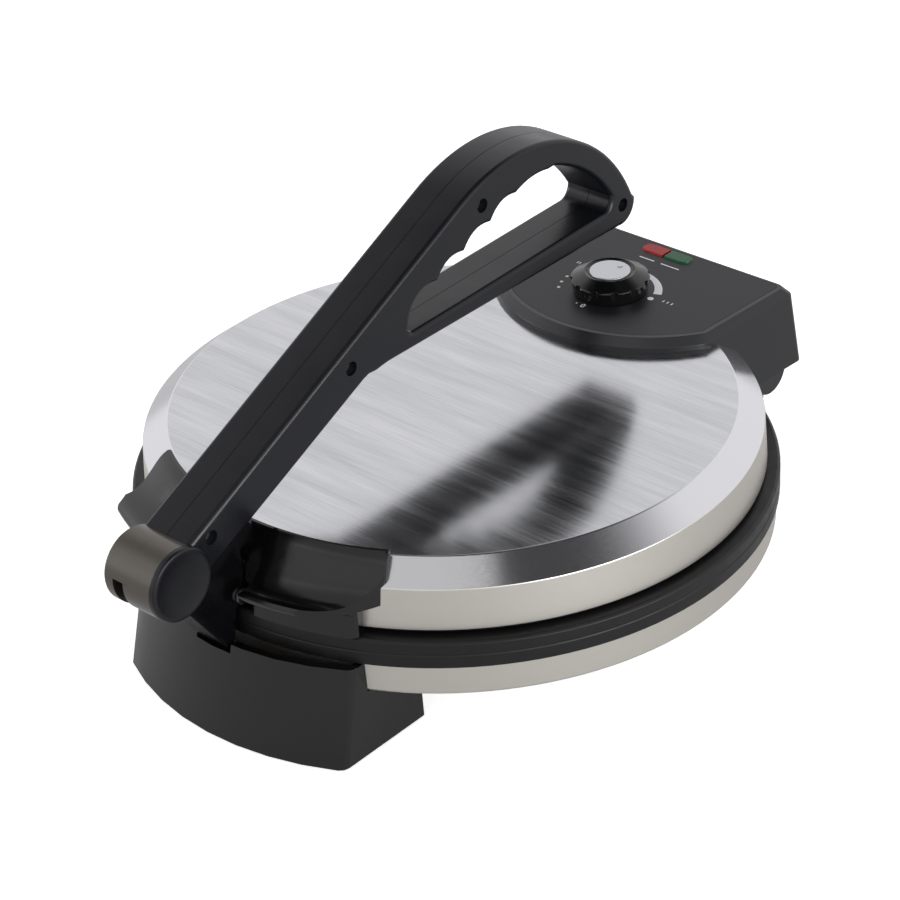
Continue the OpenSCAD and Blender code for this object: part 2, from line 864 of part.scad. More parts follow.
// Side of the link: foot end in the notch, a hollow round the barrel and the pivot eye
link_outline = concat(
    [[-154.3, 43.6], [-151.4, 60], [-150.9, 61.9]],
    arc(link_pivot, 4.2, -90, 0, 5),
    [[-144.6, 78], [-147.4, under(-147.4) - 0.7], [-164.6, under(-164.6) - 0.7]],
    arc(barrel, barrel_r + link_gap, -8, -74, 10),
    [[-158.3, 44.4]]
);
// The same side without the front wall, which the nose of the lid needs free
link_hollow = [
    [-150, 40], [-140, 40], [-130, 80], [-140, 110], [-162.6, 110], [-163.2, 84], [-162.5, 74],
    [-157.5, 62], [-154.2, 52]
];

module lever_link() {
    color([0.07, 0.07, 0.08])
        place()
            difference() {
                union() {
                    difference() {
                        side_slab(link_outline, -link_half_w, link_half_w);
                        side_slab(link_hollow, -nose_half_w - 0.4, nose_half_w + 0.4);
                    }
                    x_rod(barrel, eye_r, tongue_left, tongue_right);
                    translate([0, barrel[0], barrel[1]])
                        rotate([tongue_deg, 0, 0])
                            translate([tongue_left + 0.3, 0, -tongue_half])
                                cube([tongue_right - tongue_left - 0.6, 21.5, 2 * tongue_half]);
                }
                x_rod(barrel, 4, -20, 20);
                x_rod(link_pivot, 2.5 + run, -20, 20);
            }
}

module knuckle_pin() {
    color("silver")
        place() x_rod(barrel, 4, slot_left - 3.4, barrel_right - 0.2);
}

// ---------------------------------------------------------------- lever

rear_r = 83;
front_r = 90;
apex_y = 38;
tip = [106.5, 147.9];
tip_r = 9.4;
apex_c = [apex_y, lever_apex_z - rear_r];
front_c = [apex_y, lever_apex_z - front_r];
function arm_top(grow) = front_c + (front_r + grow) * [-sin(arm_tilt), cos(arm_tilt)];

// Outside of the lever from the barrel along the underside, round the tip and back on top,
// which is grow higher than at the side faces
function lever_outline(grow) = concat(
    [[-178, under(-178)], [-70, under(-70)], [-66, bar_low_z - 0.6], [-61, bar_low_z - 0.9],
     [-57, bar_low_z - 0.4], [-53, bar_low_z]],
    [for (i = [0:8]) let (a = -90 + 12 * i) tip + (tip_r + grow * i / 8) * [cos(a), sin(a)]],
    arc(apex_c, rear_r + grow, 23, 88, 14),
    arc(front_c, front_r + grow, 90, 90 + arm_tilt, 6),
    [[-180, arm_top(grow)[1] - tan(arm_tilt) * (arm_top(grow)[0] + 180)]]
);

loop_rear_r = 75.5;
groove_count = 4;
cusp_start = [34, 187];
cusp_step = [-18.2, -6.9];
function cusp(k) = cusp_start + k * cusp_step;

// One finger groove between the points p and q, raised by depth in its middle
function groove(p, q, depth, n) = [
    for (i = [0:n - 1])
        let (t = i / n, up = inward(q, p))
        p + (q - p) * t + up * depth * 4 * t * (1 - t)
];

// Opening of the grip, counter-clockwise from its lower front corner
function grip_loop(depth) = concat(
    arc([-36.3, 149.6], 6, 180, 268, 5),
    arc([94.6, 155.4], 8.4, -88, 2, 6),
    arc(apex_c, loop_rear_r, 30, 72, 10),
    groove([57, 189.6], cusp(0), depth * 0.6, 5),
    [for (k = [0:groove_count - 1]) each groove(cusp(k), cusp(k + 1), depth, 6)],
    [cusp(groove_count) + [-1, -1.5]]
);

screw_spots = [[-165, 106.4], [-76.7, 146.2], [10.9, 188.1], [108.3, 149.2]];
screw_hole_r = 3.3;
// Slices of a shell from the seam out to its side face: start, end, growth of the outline
crown_steps = [[0, 6, 1], [6, 9.5, 0.85], [9.5, 11.6, 0.6], [11.6, 12.8, 0.35], [12.8, 13.5, 0.12],
               [13.5, lever_half_w, 0]];

// The right handle shell: crowned towards the seam, hollow inside, four screw posts
module handle_shell(head_side) {
    grip = grip_loop(groove_depth);
    difference() {
        union() {
            difference() {
                for (s = crown_steps)
                    difference() {
                        side_slab(lever_outline(lever_crown * s[2]), s[0], s[1]);
                        side_slab(inset(grip, lever_crown * s[2]), s[0] - 1, s[1] + 1);
                    }
                difference() {
                    side_slab(inset(lever_outline(0), shell_wall - 1), -1, lever_half_w - shell_wall);
                    side_slab(inset(grip_loop(0), -shell_wall - groove_depth * 0.8), -2, lever_half_w);
                    x_rod(barrel, barrel_r + shell_wall, -2, lever_half_w);
                }
            }
            for (p = screw_spots)
                x_rod(p, 4.6, 0, lever_half_w - 1);
        }
        x_rod(barrel, barrel_r, -1, lever_half_w + 1);
        for (p = screw_spots) {
            if (head_side) {
                x_rod(p, 1.6, -1, lever_half_w + 1);
                x_rod(p, screw_hole_r, lever_half_w - 6, lever_half_w + 1);
            } else {
                x_rod(p, 1.5, -1, 9);
            }
        }
    }
}

module handle_right_half() {
    color([0.17, 0.17, 0.19]) place() handle_shell(true);
}

module handle_left_half() {
    color([0.17, 0.17, 0.19]) place() mirror([1, 0, 0]) handle_shell(false);
}

slot_left = -8.8;
slot_right = -2.6;
slot_front_deg = 172;
slot_back_deg = -25;
barrel_left = -15;
barrel_right = 13;
eye_space_r = eye_r + 0.8;

// Sector of the barrel that the slot takes up, as a side outline out to the radius far
function slot_sector(far) = concat([barrel], arc(barrel, far, slot_front_deg, 360 + slot_back_deg, 12));

// Left half of the barrel, with the slot that the tongue of the link swings in
module barrel_left_half() {
    color([0.55, 0.54, 0.52])
        place()
            difference() {
                union() {
                    x_rod(barrel, barrel_r, barrel_left + 1.5, 0);
                    x_rod(barrel, barrel_r - 0.5, barrel_left + 0.7, -1);
                    x_rod(barrel, barrel_r - 1.6, barrel_left, -1);
                }
                side_slab(slot_sector(barrel_r + 8), slot_left, 1);
                x_rod(barrel, eye_space_r, slot_left, 1);
                x_rod(barrel, 4 + run, barrel_left - 1, 1);
                x_rod(barrel, 12.1, barrel_left - 1, barrel_left + 2.5);
            }
}

// Right half of the barrel: a spigot in the left half closes the space round the eye
module barrel_right_half() {
    color([0.55, 0.54, 0.52])
        place()
            difference() {
                union() {
                    x_rod(barrel, barrel_r, 0, barrel_right);
                    x_rod(barrel, eye_space_r - 0.1, slot_right, 1);
                    intersection() {
                        x_rod(barrel, barrel_r, slot_right, 1);
                        side_slab(inset(slot_sector(barrel_r + 8), 0.05), slot_right, 1);
                    }
                }
                x_rod(barrel, 4 + run, -5, barrel_right + 1);
            }
}

// Dished end cap of radius r, turned round the barrel's axis with its back at X = 0
module barrel_cap(r, cap_t) {
    rotate([0, 90, 0])
        rotate_extrude()
            polygon([[0, 0], [r, 0], [r, cap_t - 1.1], [r - 0.5, cap_t - 0.3], [r - 1.4, cap_t],
                     [r - 2.6, cap_t - 0.2], [r * 0.6, cap_t - 1], [r * 0.3, cap_t - 1.3],
                     [0, cap_t - 1.4]]);
}

module barrel_cap_right() {
    color([0.12, 0.12, 0.12])
        place() translate([barrel_right, barrel[0], barrel[1]]) barrel_cap(barrel_r, 3);
}

module barrel_cap_left() {
    color([0.12, 0.12, 0.12])
        place()
            translate([barrel_left + 2.5, barrel[0], barrel[1]])
                mirror([1, 0, 0]) barrel_cap(12, 2.5);
}

// Screws that hold the handle shells together, with their heads sunk in the right side
module handle_screws() {
    color("gray")
        place()
            for (p = screw_spots)
                difference() {
                    union() {
                        x_rod(p, 1.5, -8.5, lever_half_w - 5);
                        x_rod(p, 3.1, lever_half_w - 6, lever_half_w - 4);
                    }
                    for (turn = [0, 90])
                        translate([lever_half_w - 5, p[0], p[1]])
                            rotate([turn, 0, 0])
                                translate([0, -1.6, -0.35]) cube([3, 3.2, 0.7]);
                }
}

// ---------------------------------------------------------------- knob

knob_low_z = panel_z + 0.4;
knob_h = 10.1;
disc_r = 9.9;
rib_count = 12;

// Fluted knob: a skirt with grip grooves, a sloping shoulder and a recess for the disc
module knob() {
    z = knob_low_z;
    color([0.05, 0.05, 0.05])
        place()
            translate([knob_x, knob_y, 0])
                difference() {
                    rotate_extrude(convexity = 4)
                        polygon([
                            [3, z], [knob_r - 1.3, z], [knob_r - 0.2, z + 6], [knob_r, z + 6.4],
                            [knob_r - 0.3, z + 6.9], [knob_r - 0.9, z + 7.3], [disc_r + 3.4, z + 9.7],
                            [disc_r + 2.4, z + knob_h], [disc_r + 1.6, z + knob_h - 0.3],
                            [disc_r + 1.2, z + knob_h - 0.9], [disc_r + 0.1, z + knob_h - 0.9],
                            [disc_r + 0.1, z + knob_h - 1.4], [3, z + knob_h - 1.4]
                        ]);
                    for (i = [0:rib_count - 1])
                        rotate([0, 0, (i + 0.5) * 360 / rib_count])
                            translate([knob_r + 1.7, 0, z - 1]) cylinder(r = 2.7, h = 12, $fn = 24);
                }
}

pointer_deg = 64;
// Silver disc on the knob with a sunk triangular pointer
module knob_disc() {
    z = knob_low_z + knob_h - 1.4;
    color("silver")
        place()
            translate([knob_x, knob_y, 0])
                difference() {
                    rotate_extrude()
                        polygon([[0, z], [disc_r, z], [disc_r, z + 1.1], [disc_r - 0.3, z + 1.4],
                                 [0, z + 1.4]]);
                    rotate([0, 0, pointer_deg])
                        translate([0, 0, z + 1])
                            linear_extrude(height = 1)
                                polygon([[4.2, -1.5], [7, 0], [4.2, 1.5]]);
                }
}

module thermostat_spindle() {
    color("silver")
        place() z_rod(knob_x, knob_y, 3, 78.5, knob_low_z + knob_h - 1.4);
}

// ---------------------------------------------------------------- output

base_pan();
base_band();
lower_plate();
lower_element();
lower_heat_shield();
front_foot();
rear_foot();
rubber_feet();
foot_screws();
hinge_pins();
lid_shell();
lid_ring();
upper_plate();
upper_element();
upper_heat_shield();
thermostat();
thermal_fuse();
lift_tab_left();
lift_tab_right();
lid_nose();
link_pin();
control_housing();
housing_floor();
control_panel();
red_window();
green_window();
indicator_lamps();
terminal_block();
cord_grommet();
housing_screws();
lever_link();
knuckle_pin();
handle_left_half();
handle_right_half();
barrel_left_half();
barrel_right_half();
barrel_cap_left();
barrel_cap_right();
handle_screws();
knob();
knob_disc();
thermostat_spindle();
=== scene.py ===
"""Electric roti maker: its looks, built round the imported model.

Metres, +Z up. The lever's barrel is at the front, towards -Y, and the lid's hinge at the back."""

import json
import math

import bmesh
import bpy
from mathutils import Matrix, Vector

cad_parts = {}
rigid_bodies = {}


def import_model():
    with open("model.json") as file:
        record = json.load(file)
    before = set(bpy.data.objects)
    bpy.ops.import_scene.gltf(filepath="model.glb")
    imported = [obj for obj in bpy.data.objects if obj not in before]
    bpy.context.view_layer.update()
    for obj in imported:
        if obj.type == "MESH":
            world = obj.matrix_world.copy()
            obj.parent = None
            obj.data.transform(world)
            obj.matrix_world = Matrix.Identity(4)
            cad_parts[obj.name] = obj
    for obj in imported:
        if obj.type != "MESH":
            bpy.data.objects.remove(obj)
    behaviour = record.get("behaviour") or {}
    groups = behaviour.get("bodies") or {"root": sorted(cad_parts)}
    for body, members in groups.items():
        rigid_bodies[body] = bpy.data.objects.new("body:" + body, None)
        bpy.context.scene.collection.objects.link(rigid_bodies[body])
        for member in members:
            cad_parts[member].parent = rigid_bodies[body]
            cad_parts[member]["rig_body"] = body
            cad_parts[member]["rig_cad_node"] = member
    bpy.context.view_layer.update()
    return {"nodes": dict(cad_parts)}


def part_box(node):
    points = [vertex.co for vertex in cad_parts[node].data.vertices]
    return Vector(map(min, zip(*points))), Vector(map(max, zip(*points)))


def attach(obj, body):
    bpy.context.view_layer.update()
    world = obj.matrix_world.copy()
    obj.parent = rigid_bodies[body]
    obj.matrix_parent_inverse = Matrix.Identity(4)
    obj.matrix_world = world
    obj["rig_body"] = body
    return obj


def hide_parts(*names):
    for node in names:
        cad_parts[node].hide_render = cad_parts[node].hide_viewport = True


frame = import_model()

# ---------------------------------------------------------------- base pan
# The pan under the lower plate is deep-drawn stainless sheet, satin all round, with a rounded
# floor edge. Its rim is stepped in for the black band, and the two feet are screwed to its floor.

MM = 0.001
SHARP = math.radians(32)  # edges that turn more than this are rounded and shaded as edges
MERGE = 0.02 * MM  # corners of a node's triangles that are closer than this are one
FLAT = math.radians(0.6)  # triangles that turn less than this are one face


def linear(colour):
    """An sRGB hex colour as linear red, green, blue and alpha."""
    parts = [int(colour[i:i + 2], 16) / 255 for i in (1, 3, 5)]
    return [p / 12.92 if p < 0.04045 else ((p + 0.055) / 1.055) ** 2.4 for p in parts] + [1.0]


def material(name, colour, roughness, metallic=0.0, **sockets):
    """A new material and its shader, with the values that are the same all over."""
    made = bpy.data.materials.new(name)
    made.use_nodes = True
    shader = made.node_tree.nodes["Principled BSDF"]
    shader.inputs["Base Color"].default_value = linear(colour)
    shader.inputs["Roughness"].default_value = roughness
    shader.inputs["Metallic"].default_value = metallic
    for socket, value in sockets.items():
        shader.inputs[socket.replace("_", " ")].default_value = value
    return made, shader


def add(made, kind, inputs=(), settings=()):
    """Adds a node to a material. An input is given its value, or the output that feeds it."""
    node = made.node_tree.nodes.new(kind)
    for key, value in dict(settings).items():
        setattr(node, key, value)
    for key, value in dict(inputs).items():
        if isinstance(value, bpy.types.NodeSocket):
            made.node_tree.links.new(value, node.inputs[key])
        else:
            node.inputs[key].default_value = value
    return node


def feed(shader, socket, source):
    """Links an output to a socket of a shader."""
    shader.id_data.links.new(source, shader.inputs[socket])


def per_metre(width_mm):
    """The scale at which the grains of a texture are about that wide."""
    return 1 / (width_mm * MM)


# Drawn stainless steel: a satin surface left by the drawing press and a light belt polish, with a
# faint warm tint. The belt leaves level streaks of 3 mm, and the eye sees soft upright reflections.
drawn_steel, shader = material("drawn_stainless_steel", "#cfcbc4", 0.34, metallic=1.0)
place = add(drawn_steel, "ShaderNodeTexCoord")
flattened = add(drawn_steel, "ShaderNodeMapping",
                {"Vector": place.outputs["Object"], "Scale": (1, 1, 14)})
grain = add(drawn_steel, "ShaderNodeTexNoise",
            {"Vector": flattened.outputs["Vector"], "Scale": per_metre(3.0), "Detail": 3})
sheen = add(drawn_steel, "ShaderNodeMapRange",
            {"Value": grain.outputs["Fac"], "From Min": 0.3, "From Max": 0.7,
             "To Min": 0.3, "To Max": 0.42})
feed(shader, "Roughness", sheen.outputs["Result"])
bump = add(drawn_steel, "ShaderNodeBump",
           {"Height": grain.outputs["Fac"], "Distance": 0.004 * MM, "Strength": 0.4})
feed(shader, "Normal", bump.outputs["Normal"])


def deselect():
    """Leaves nothing selected, so that the next operator acts on its own piece only."""
    if bpy.context.object and bpy.context.object.mode != "OBJECT":
        bpy.ops.object.mode_set(mode="OBJECT")
    bpy.ops.object.select_all(action="DESELECT")


def pick(piece):
    """Selects one piece and nothing else."""
    deselect()
    piece.select_set(True)
    bpy.context.view_layer.objects.active = piece


def rounded(piece, width_mm, segments, angle=SHARP):
    """Rounds the sharp edges of a piece over."""
    pick(piece)
    edge = piece.modifiers.new("edge", "BEVEL")
    edge.width = width_mm * MM
    edge.segments = segments
    edge.limit_method = "ANGLE"
    edge.angle_limit = angle
    bpy.ops.object.modifier_apply(modifier=edge.name)
    return piece


def dressed(name, node, edge_mm, segments=2):
    """A copy of a CAD node, merged to one skin, with its sharp edges rounded over."""
    piece = frame["nodes"][node].copy()
    piece.data = frame["nodes"][node].data.copy()
    piece.parent = None
    piece.name = name
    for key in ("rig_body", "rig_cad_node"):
        if key in piece:
            del piece[key]
    bpy.context.scene.collection.objects.link(piece)
    pick(piece)
    bpy.ops.object.mode_set(mode="EDIT")
    bpy.ops.mesh.select_all(action="SELECT")
    bpy.ops.mesh.remove_doubles(threshold=MERGE)
    bpy.ops.mesh.dissolve_limited(angle_limit=FLAT)
    bpy.ops.object.mode_set(mode="OBJECT")
    return rounded(piece, edge_mm, segments) if edge_mm else piece


def complete(piece, made, body, slot, *nodes):
    """Shades a finished piece, gives it its material and puts it in place of its CAD nodes."""
    pick(piece)
    bpy.ops.object.transform_apply(location=True, rotation=True, scale=True)
    bpy.ops.object.shade_smooth_by_angle(angle=SHARP)
    # Large faces keep their own direction where they meet a rounded edge.
    weighted = piece.modifiers.new("weighted", "WEIGHTED_NORMAL")
    weighted.keep_sharp = True
    bpy.ops.object.modifier_apply(modifier=weighted.name)
    piece.data.materials.clear()
    piece.data.materials.append(made)
    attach(piece, body)
    if nodes:
        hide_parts(*nodes)
    deselect()
    return piece


complete(dressed("pan_shell", "base_pan", 0.3), drawn_steel, "base", "pan_steel", "base_pan")

# ---------------------------------------------------------------- base band
# A heat-proof plastic band is pressed over the pan's rim and carries the flat rim round the lower
# plate. It is moulded in one piece, and its parting line runs round it as a shallow groove.

# Moulded phenolic: a fine spark-eroded grain of 0.6 mm that turns highlights broad and soft, and
# a sheen that changes over about 9 mm, as the resin flowed.
band_plastic, shader = material("moulded_phenolic", "#09090b", 0.38, Specular_IOR_Level=0.35)
place = add(band_plastic, "ShaderNodeTexCoord")
grain = add(band_plastic, "ShaderNodeTexNoise",
            {"Vector": place.outputs["Object"], "Scale": per_metre(0.6), "Detail": 4})
bump = add(band_plastic, "ShaderNodeBump",
           {"Height": grain.outputs["Fac"], "Distance": 0.02 * MM, "Strength": 0.35})
feed(shader, "Normal", bump.outputs["Normal"])
flow = add(band_plastic, "ShaderNodeTexNoise",
           {"Vector": place.outputs["Object"], "Scale": per_metre(9), "Detail": 3})
sheen = add(band_plastic, "ShaderNodeMapRange",
            {"Value": flow.outputs["Fac"], "From Min": 0.3, "From Max": 0.7,
             "To Min": 0.38, "To Max": 0.5})
feed(shader, "Roughness", sheen.outputs["Result"])

complete(dressed("band_ring", "base_band", 0.4), band_plastic, "base", "band_plastic", "base_band")

# ---------------------------------------------------------------- baking plates and heaters
# Two aluminium castings with a dark non-stick coating. A sheathed heating ring is pressed into the
# back of each, and a pressed dish over it turns the heat back.

# Non-stick coating on a casting: nearly black, mottled over 1.4 mm, with a low sheen.
coated_casting, shader = material("coated_casting", "#232325", 0.38, metallic=0.1)
place = add(coated_casting, "ShaderNodeTexCoord")
mottle = add(coated_casting, "ShaderNodeTexNoise",
             {"Vector": place.outputs["Object"], "Scale": per_metre(1.4), "Detail": 5})
shade = add(coated_casting, "ShaderNodeMix",
            {"Factor": mottle.outputs["Fac"], 6: linear("#1a1a1c"), 7: linear("#2c2c2e")},
            {"data_type": "RGBA"})
feed(shader, "Base Color", shade.outputs[2])
bump = add(coated_casting, "ShaderNodeBump",
           {"Height": mottle.outputs["Fac"], "Distance": 0.03 * MM, "Strength": 0.4})
feed(shader, "Normal", bump.outputs["Normal"])

# Steel sheath of a heating tube: a dull brown-grey oxide from the first heating, in 4 mm clouds.
oxidised_sheath, shader = material("oxidised_steel_sheath", "#5a5550", 0.5, metallic=0.8)
place = add(oxidised_sheath, "ShaderNodeTexCoord")
oxide = add(oxidised_sheath, "ShaderNodeTexNoise",
            {"Vector": place.outputs["Object"], "Scale": per_metre(4), "Detail": 4})
shade = add(oxidised_sheath, "ShaderNodeMix",
            {"Factor": oxide.outputs["Fac"], 6: linear("#4a4643"), 7: linear("#6b6259")},
            {"data_type": "RGBA"})
feed(shader, "Base Color", shade.outputs[2])

# Pressed aluminium sheet: bright mill finish with faint rolling lines, 1.2 mm apart.
mill_aluminium, shader = material("mill_finish_aluminium", "#c4c6c8", 0.3, metallic=1.0)
place = add(mill_aluminium, "ShaderNodeTexCoord")
drawn_out = add(mill_aluminium, "ShaderNodeMapping",
                {"Vector": place.outputs["Object"], "Scale": (1, 0.05, 1)})
rolling = add(mill_aluminium, "ShaderNodeTexNoise",
              {"Vector": drawn_out.outputs["Vector"], "Scale": per_metre(1.2), "Detail": 3})
bump = add(mill_aluminium, "ShaderNodeBump",
           {"Height": rolling.outputs["Fac"], "Distance": 0.01 * MM, "Strength": 0.3})
feed(shader, "Normal", bump.outputs["Normal"])

for half, body in (("lower", "base"), ("upper", "lid")):
    complete(dressed(half + "_baking_plate", half + "_plate", 0.4), coated_casting, body,
             "cast_plate", half + "_plate")
    complete(dressed(half + "_element_part", half + "_element", 0), oxidised_sheath, body,
             "tube_steel", half + "_element")
    complete(dressed(half + "_heat_shield_part", half + "_heat_shield", 0), mill_aluminium, body,
             "shield_aluminium", half + "_heat_shield")

# ---------------------------------------------------------------- feet
# Two glossy mouldings are screwed under the pan. The front one has a bowed, slightly drafted face
# with the notch for the link, and the rear one slopes down to a toe and carries the hinge ears.

# Glossy ABS from a polished mould: clear reflections, slightly wavy over 28 mm from the shrinking
# plastic, and smeared a little by handling, in patches of 5 mm.
glossy_abs, shader = material("glossy_abs", "#08080a", 0.16, IOR=1.5)
place = add(glossy_abs, "ShaderNodeTexCoord")
wave = add(glossy_abs, "ShaderNodeTexNoise",
           {"Vector": place.outputs["Object"], "Scale": per_metre(28), "Detail": 1})
bump = add(glossy_abs, "ShaderNodeBump",
           {"Height": wave.outputs["Fac"], "Distance": 0.25 * MM, "Strength": 0.12})
feed(shader, "Normal", bump.outputs["Normal"])
smears = add(glossy_abs, "ShaderNodeTexNoise",
             {"Vector": place.outputs["Object"], "Scale": per_metre(5), "Detail": 5})
sheen = add(glossy_abs, "ShaderNodeMapRange",
            {"Value": smears.outputs["Fac"], "From Min": 0.3, "From Max": 0.7,
             "To Min": 0.13, "To Max": 0.22})
feed(shader, "Roughness", sheen.outputs["Result"])

for end in ("front", "rear"):
    complete(dressed(end + "_foot_moulding", end + "_foot", 0.8, 3), glossy_abs, "base",
             "foot_plastic", end + "_foot")

# Moulded rubber: matte, with a dusty bloom in 2 mm patches.
rubber, shader = material("moulded_rubber", "#242424", 0.85)
place = add(rubber, "ShaderNodeTexCoord")
bloom = add(rubber, "ShaderNodeTexNoise",
            {"Vector": place.outputs["Object"], "Scale": per_metre(2), "Detail": 5})
shade = add(rubber, "ShaderNodeMix",
            {"Factor": bloom.outputs["Fac"], 6: linear("#1e1e1e"), 7: linear("#303030")},
            {"data_type": "RGBA"})
feed(shader, "Base Color", shade.outputs[2])

complete(dressed("rubber_pads", "rubber_feet", 0.3), rubber, "base", "pad_rubber", "rubber_feet")

# ---------------------------------------------------------------- screws and pins
# The feet and the housing's floor are held by zinc-plated screws. The hinge, the link and the
# lever turn on short steel pins, and the knob sits on the thermostat's turned spindle.

# Zinc-plated steel: grey and slightly blue, with 0.5 mm marks from the tumbling drum.
zinc_plate, shader = material("zinc_plated_steel", "#8c9096", 0.35, metallic=1.0)
place = add(zinc_plate, "ShaderNodeTexCoord")
tumbling = add(zinc_plate, "ShaderNodeTexNoise",
               {"Vector": place.outputs["Object"], "Scale": per_metre(0.5), "Detail": 4})
bump = add(zinc_plate, "ShaderNodeBump",
           {"Height": tumbling.outputs["Fac"], "Distance": 0.01 * MM, "Strength": 0.3})
feed(shader, "Normal", bump.outputs["Normal"])

# Turned steel: bright, with tool marks round the pins, which lie along X. They are 0.4 mm long and
# a twelfth as wide, too fine for the eye to see one by one.
turned_steel, shader = material("turned_steel", "#b4b5b8", 0.28, metallic=1.0)
place = add(turned_steel, "ShaderNodeTexCoord")
crowded = add(turned_steel, "ShaderNodeMapping",
              {"Vector": place.outputs["Object"], "Scale": (12, 1, 1)})
tool_marks = add(turned_steel, "ShaderNodeTexNoise",
                 {"Vector": crowded.outputs["Vector"], "Scale": per_metre(0.4), "Detail": 3})
bump = add(turned_steel, "ShaderNodeBump",
           {"Height": tool_marks.outputs["Fac"], "Distance": 0.006 * MM, "Strength": 0.4})
feed(shader, "Normal", bump.outputs["Normal"])

for node, body, made, slot in (("foot_screws", "base", zinc_plate, "screw_steel"),
                               ("housing_screws", "lid", zinc_plate, "screw_steel"),
                               ("hinge_pins", "base", turned_steel, "pin_steel"),
                               ("link_pin", "lid", turned_steel, "pin_steel"),
                               ("knuckle_pin", "link", turned_steel, "pin_steel"),
                               ("thermostat_spindle", "knob", turned_steel, "pin_steel")):
    complete(dressed(node + "_part", node, 0.2), made, body, slot, node)

# ---------------------------------------------------------------- lid shell
# The lid is spun from stainless sheet: a flat top with a straight brushed grain, a polished bevel
# and a satin skirt that curls in at its lower edge. A plastic ring is fitted inside the skirt.

LID_AXIS = sum(corner[1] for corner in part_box("lid_shell")) / 2
LID_TOP_R, LID_EDGE_R, LID_SKIRT_R = 130.0, 142.0, 143.0
LID_TOP_Z, LID_EDGE_Z, LID_SKIRT_Z = 91.0, 81.5, 62.0
SHEET = 0.8
TOP_ROUND, BEVEL_ROUND, HEM_ROUND = 1.6, 1.0, 0.6  # radii above the bevel, under it and at the hem
LID_SEGMENTS = 256
# The grain runs along X, turned a few degrees as the disc was clamped for spinning.
GRAIN_TURN = (0, 0, math.radians(6))

# Brushed stainless steel: parallel hairlines, in truth about 0.2 mm wide and drawn 0.45 mm wide so
# that they show, over bands of 9 mm where the belt pressed harder. The eye sees light and dark
# streaks, also in what the lid mirrors.
brushed_steel, shader = material("brushed_stainless_steel", "#c4c4c6", 0.2, metallic=1.0)
place = add(brushed_steel, "ShaderNodeTexCoord")
along_lines = add(brushed_steel, "ShaderNodeMapping",
                  {"Vector": place.outputs["Object"], "Scale": (0.015, 1, 1),
                   "Rotation": GRAIN_TURN})
hairlines = add(brushed_steel, "ShaderNodeTexNoise",
                {"Vector": along_lines.outputs["Vector"], "Scale": per_metre(0.45), "Detail": 3})
along_bands = add(brushed_steel, "ShaderNodeMapping",
                  {"Vector": place.outputs["Object"], "Scale": (0.08, 1, 1),
                   "Rotation": GRAIN_TURN})
bands = add(brushed_steel, "ShaderNodeTexNoise",
            {"Vector": along_bands.outputs["Vector"], "Scale": per_metre(9), "Detail": 2})
both = add(brushed_steel, "ShaderNodeMath", {0: hairlines.outputs["Fac"], 1: bands.outputs["Fac"]},
           {"operation": "ADD"})
streaks = add(brushed_steel, "ShaderNodeMath", {0: both.outputs["Value"], 1: 0.5},
              {"operation": "MULTIPLY"})
sheen = add(brushed_steel, "ShaderNodeMapRange",
            {"Value": streaks.outputs["Value"], "From Min": 0.3, "From Max": 0.7,
             "To Min": 0.11, "To Max": 0.2})
feed(shader, "Roughness", sheen.outputs["Result"])
shade = add(brushed_steel, "ShaderNodeMix",
            {"Factor": streaks.outputs["Value"], 6: linear("#939498"), 7: linear("#ececee")},
            {"data_type": "RGBA"})
feed(shader, "Base Color", shade.outputs[2])
bump = add(brushed_steel, "ShaderNodeBump",
           {"Height": hairlines.outputs["Fac"], "Distance": 0.006 * MM, "Strength": 0.2})
feed(shader, "Normal", bump.outputs["Normal"])

# Polished stainless steel: the lathe's last cut, buffed round the lid in streaks of 2 mm, so that
# the bevel mirrors the studio softly.
polished_steel, shader = material("polished_stainless_steel", "#d9d9dc", 0.16, metallic=1.0)
place = add(polished_steel, "ShaderNodeTexCoord")
flattened = add(polished_steel, "ShaderNodeMapping",
                {"Vector": place.outputs["Object"], "Scale": (1, 1, 10)})
buffing = add(polished_steel, "ShaderNodeTexNoise",
              {"Vector": flattened.outputs["Vector"], "Scale": per_metre(2), "Detail": 3})
sheen = add(polished_steel, "ShaderNodeMapRange",
            {"Value": buffing.outputs["Fac"], "From Min": 0.3, "From Max": 0.7,
             "To Min": 0.13, "To Max": 0.2})
feed(shader, "Roughness", sheen.outputs["Result"])


def arc(centre, radius, start, end, steps):
    """Points of an arc from one angle to another, in degrees."""
    return [(centre[0] + radius * math.cos(math.radians(start + (end - start) * i / steps)),
             centre[1] + radius * math.sin(math.radians(start + (end - start) * i / steps)))
            for i in range(steps + 1)]


def rim_select(piece):
    """Selects the open rims of a piece in edit mode and nothing else."""
    shape = bmesh.from_edit_mesh(piece.data)
    for face in shape.faces:
        face.select = False
    for edge in shape.edges:
        edge.select = edge.is_boundary
    bmesh.update_edit_mesh(piece.data)


def outward(piece):
    """Turns all faces outwards and leaves edit mode."""
    bpy.ops.mesh.select_all(action="SELECT")
    bpy.ops.mesh.normals_make_consistent(inside=False)
    bpy.ops.object.mode_set(mode="OBJECT")
    return piece


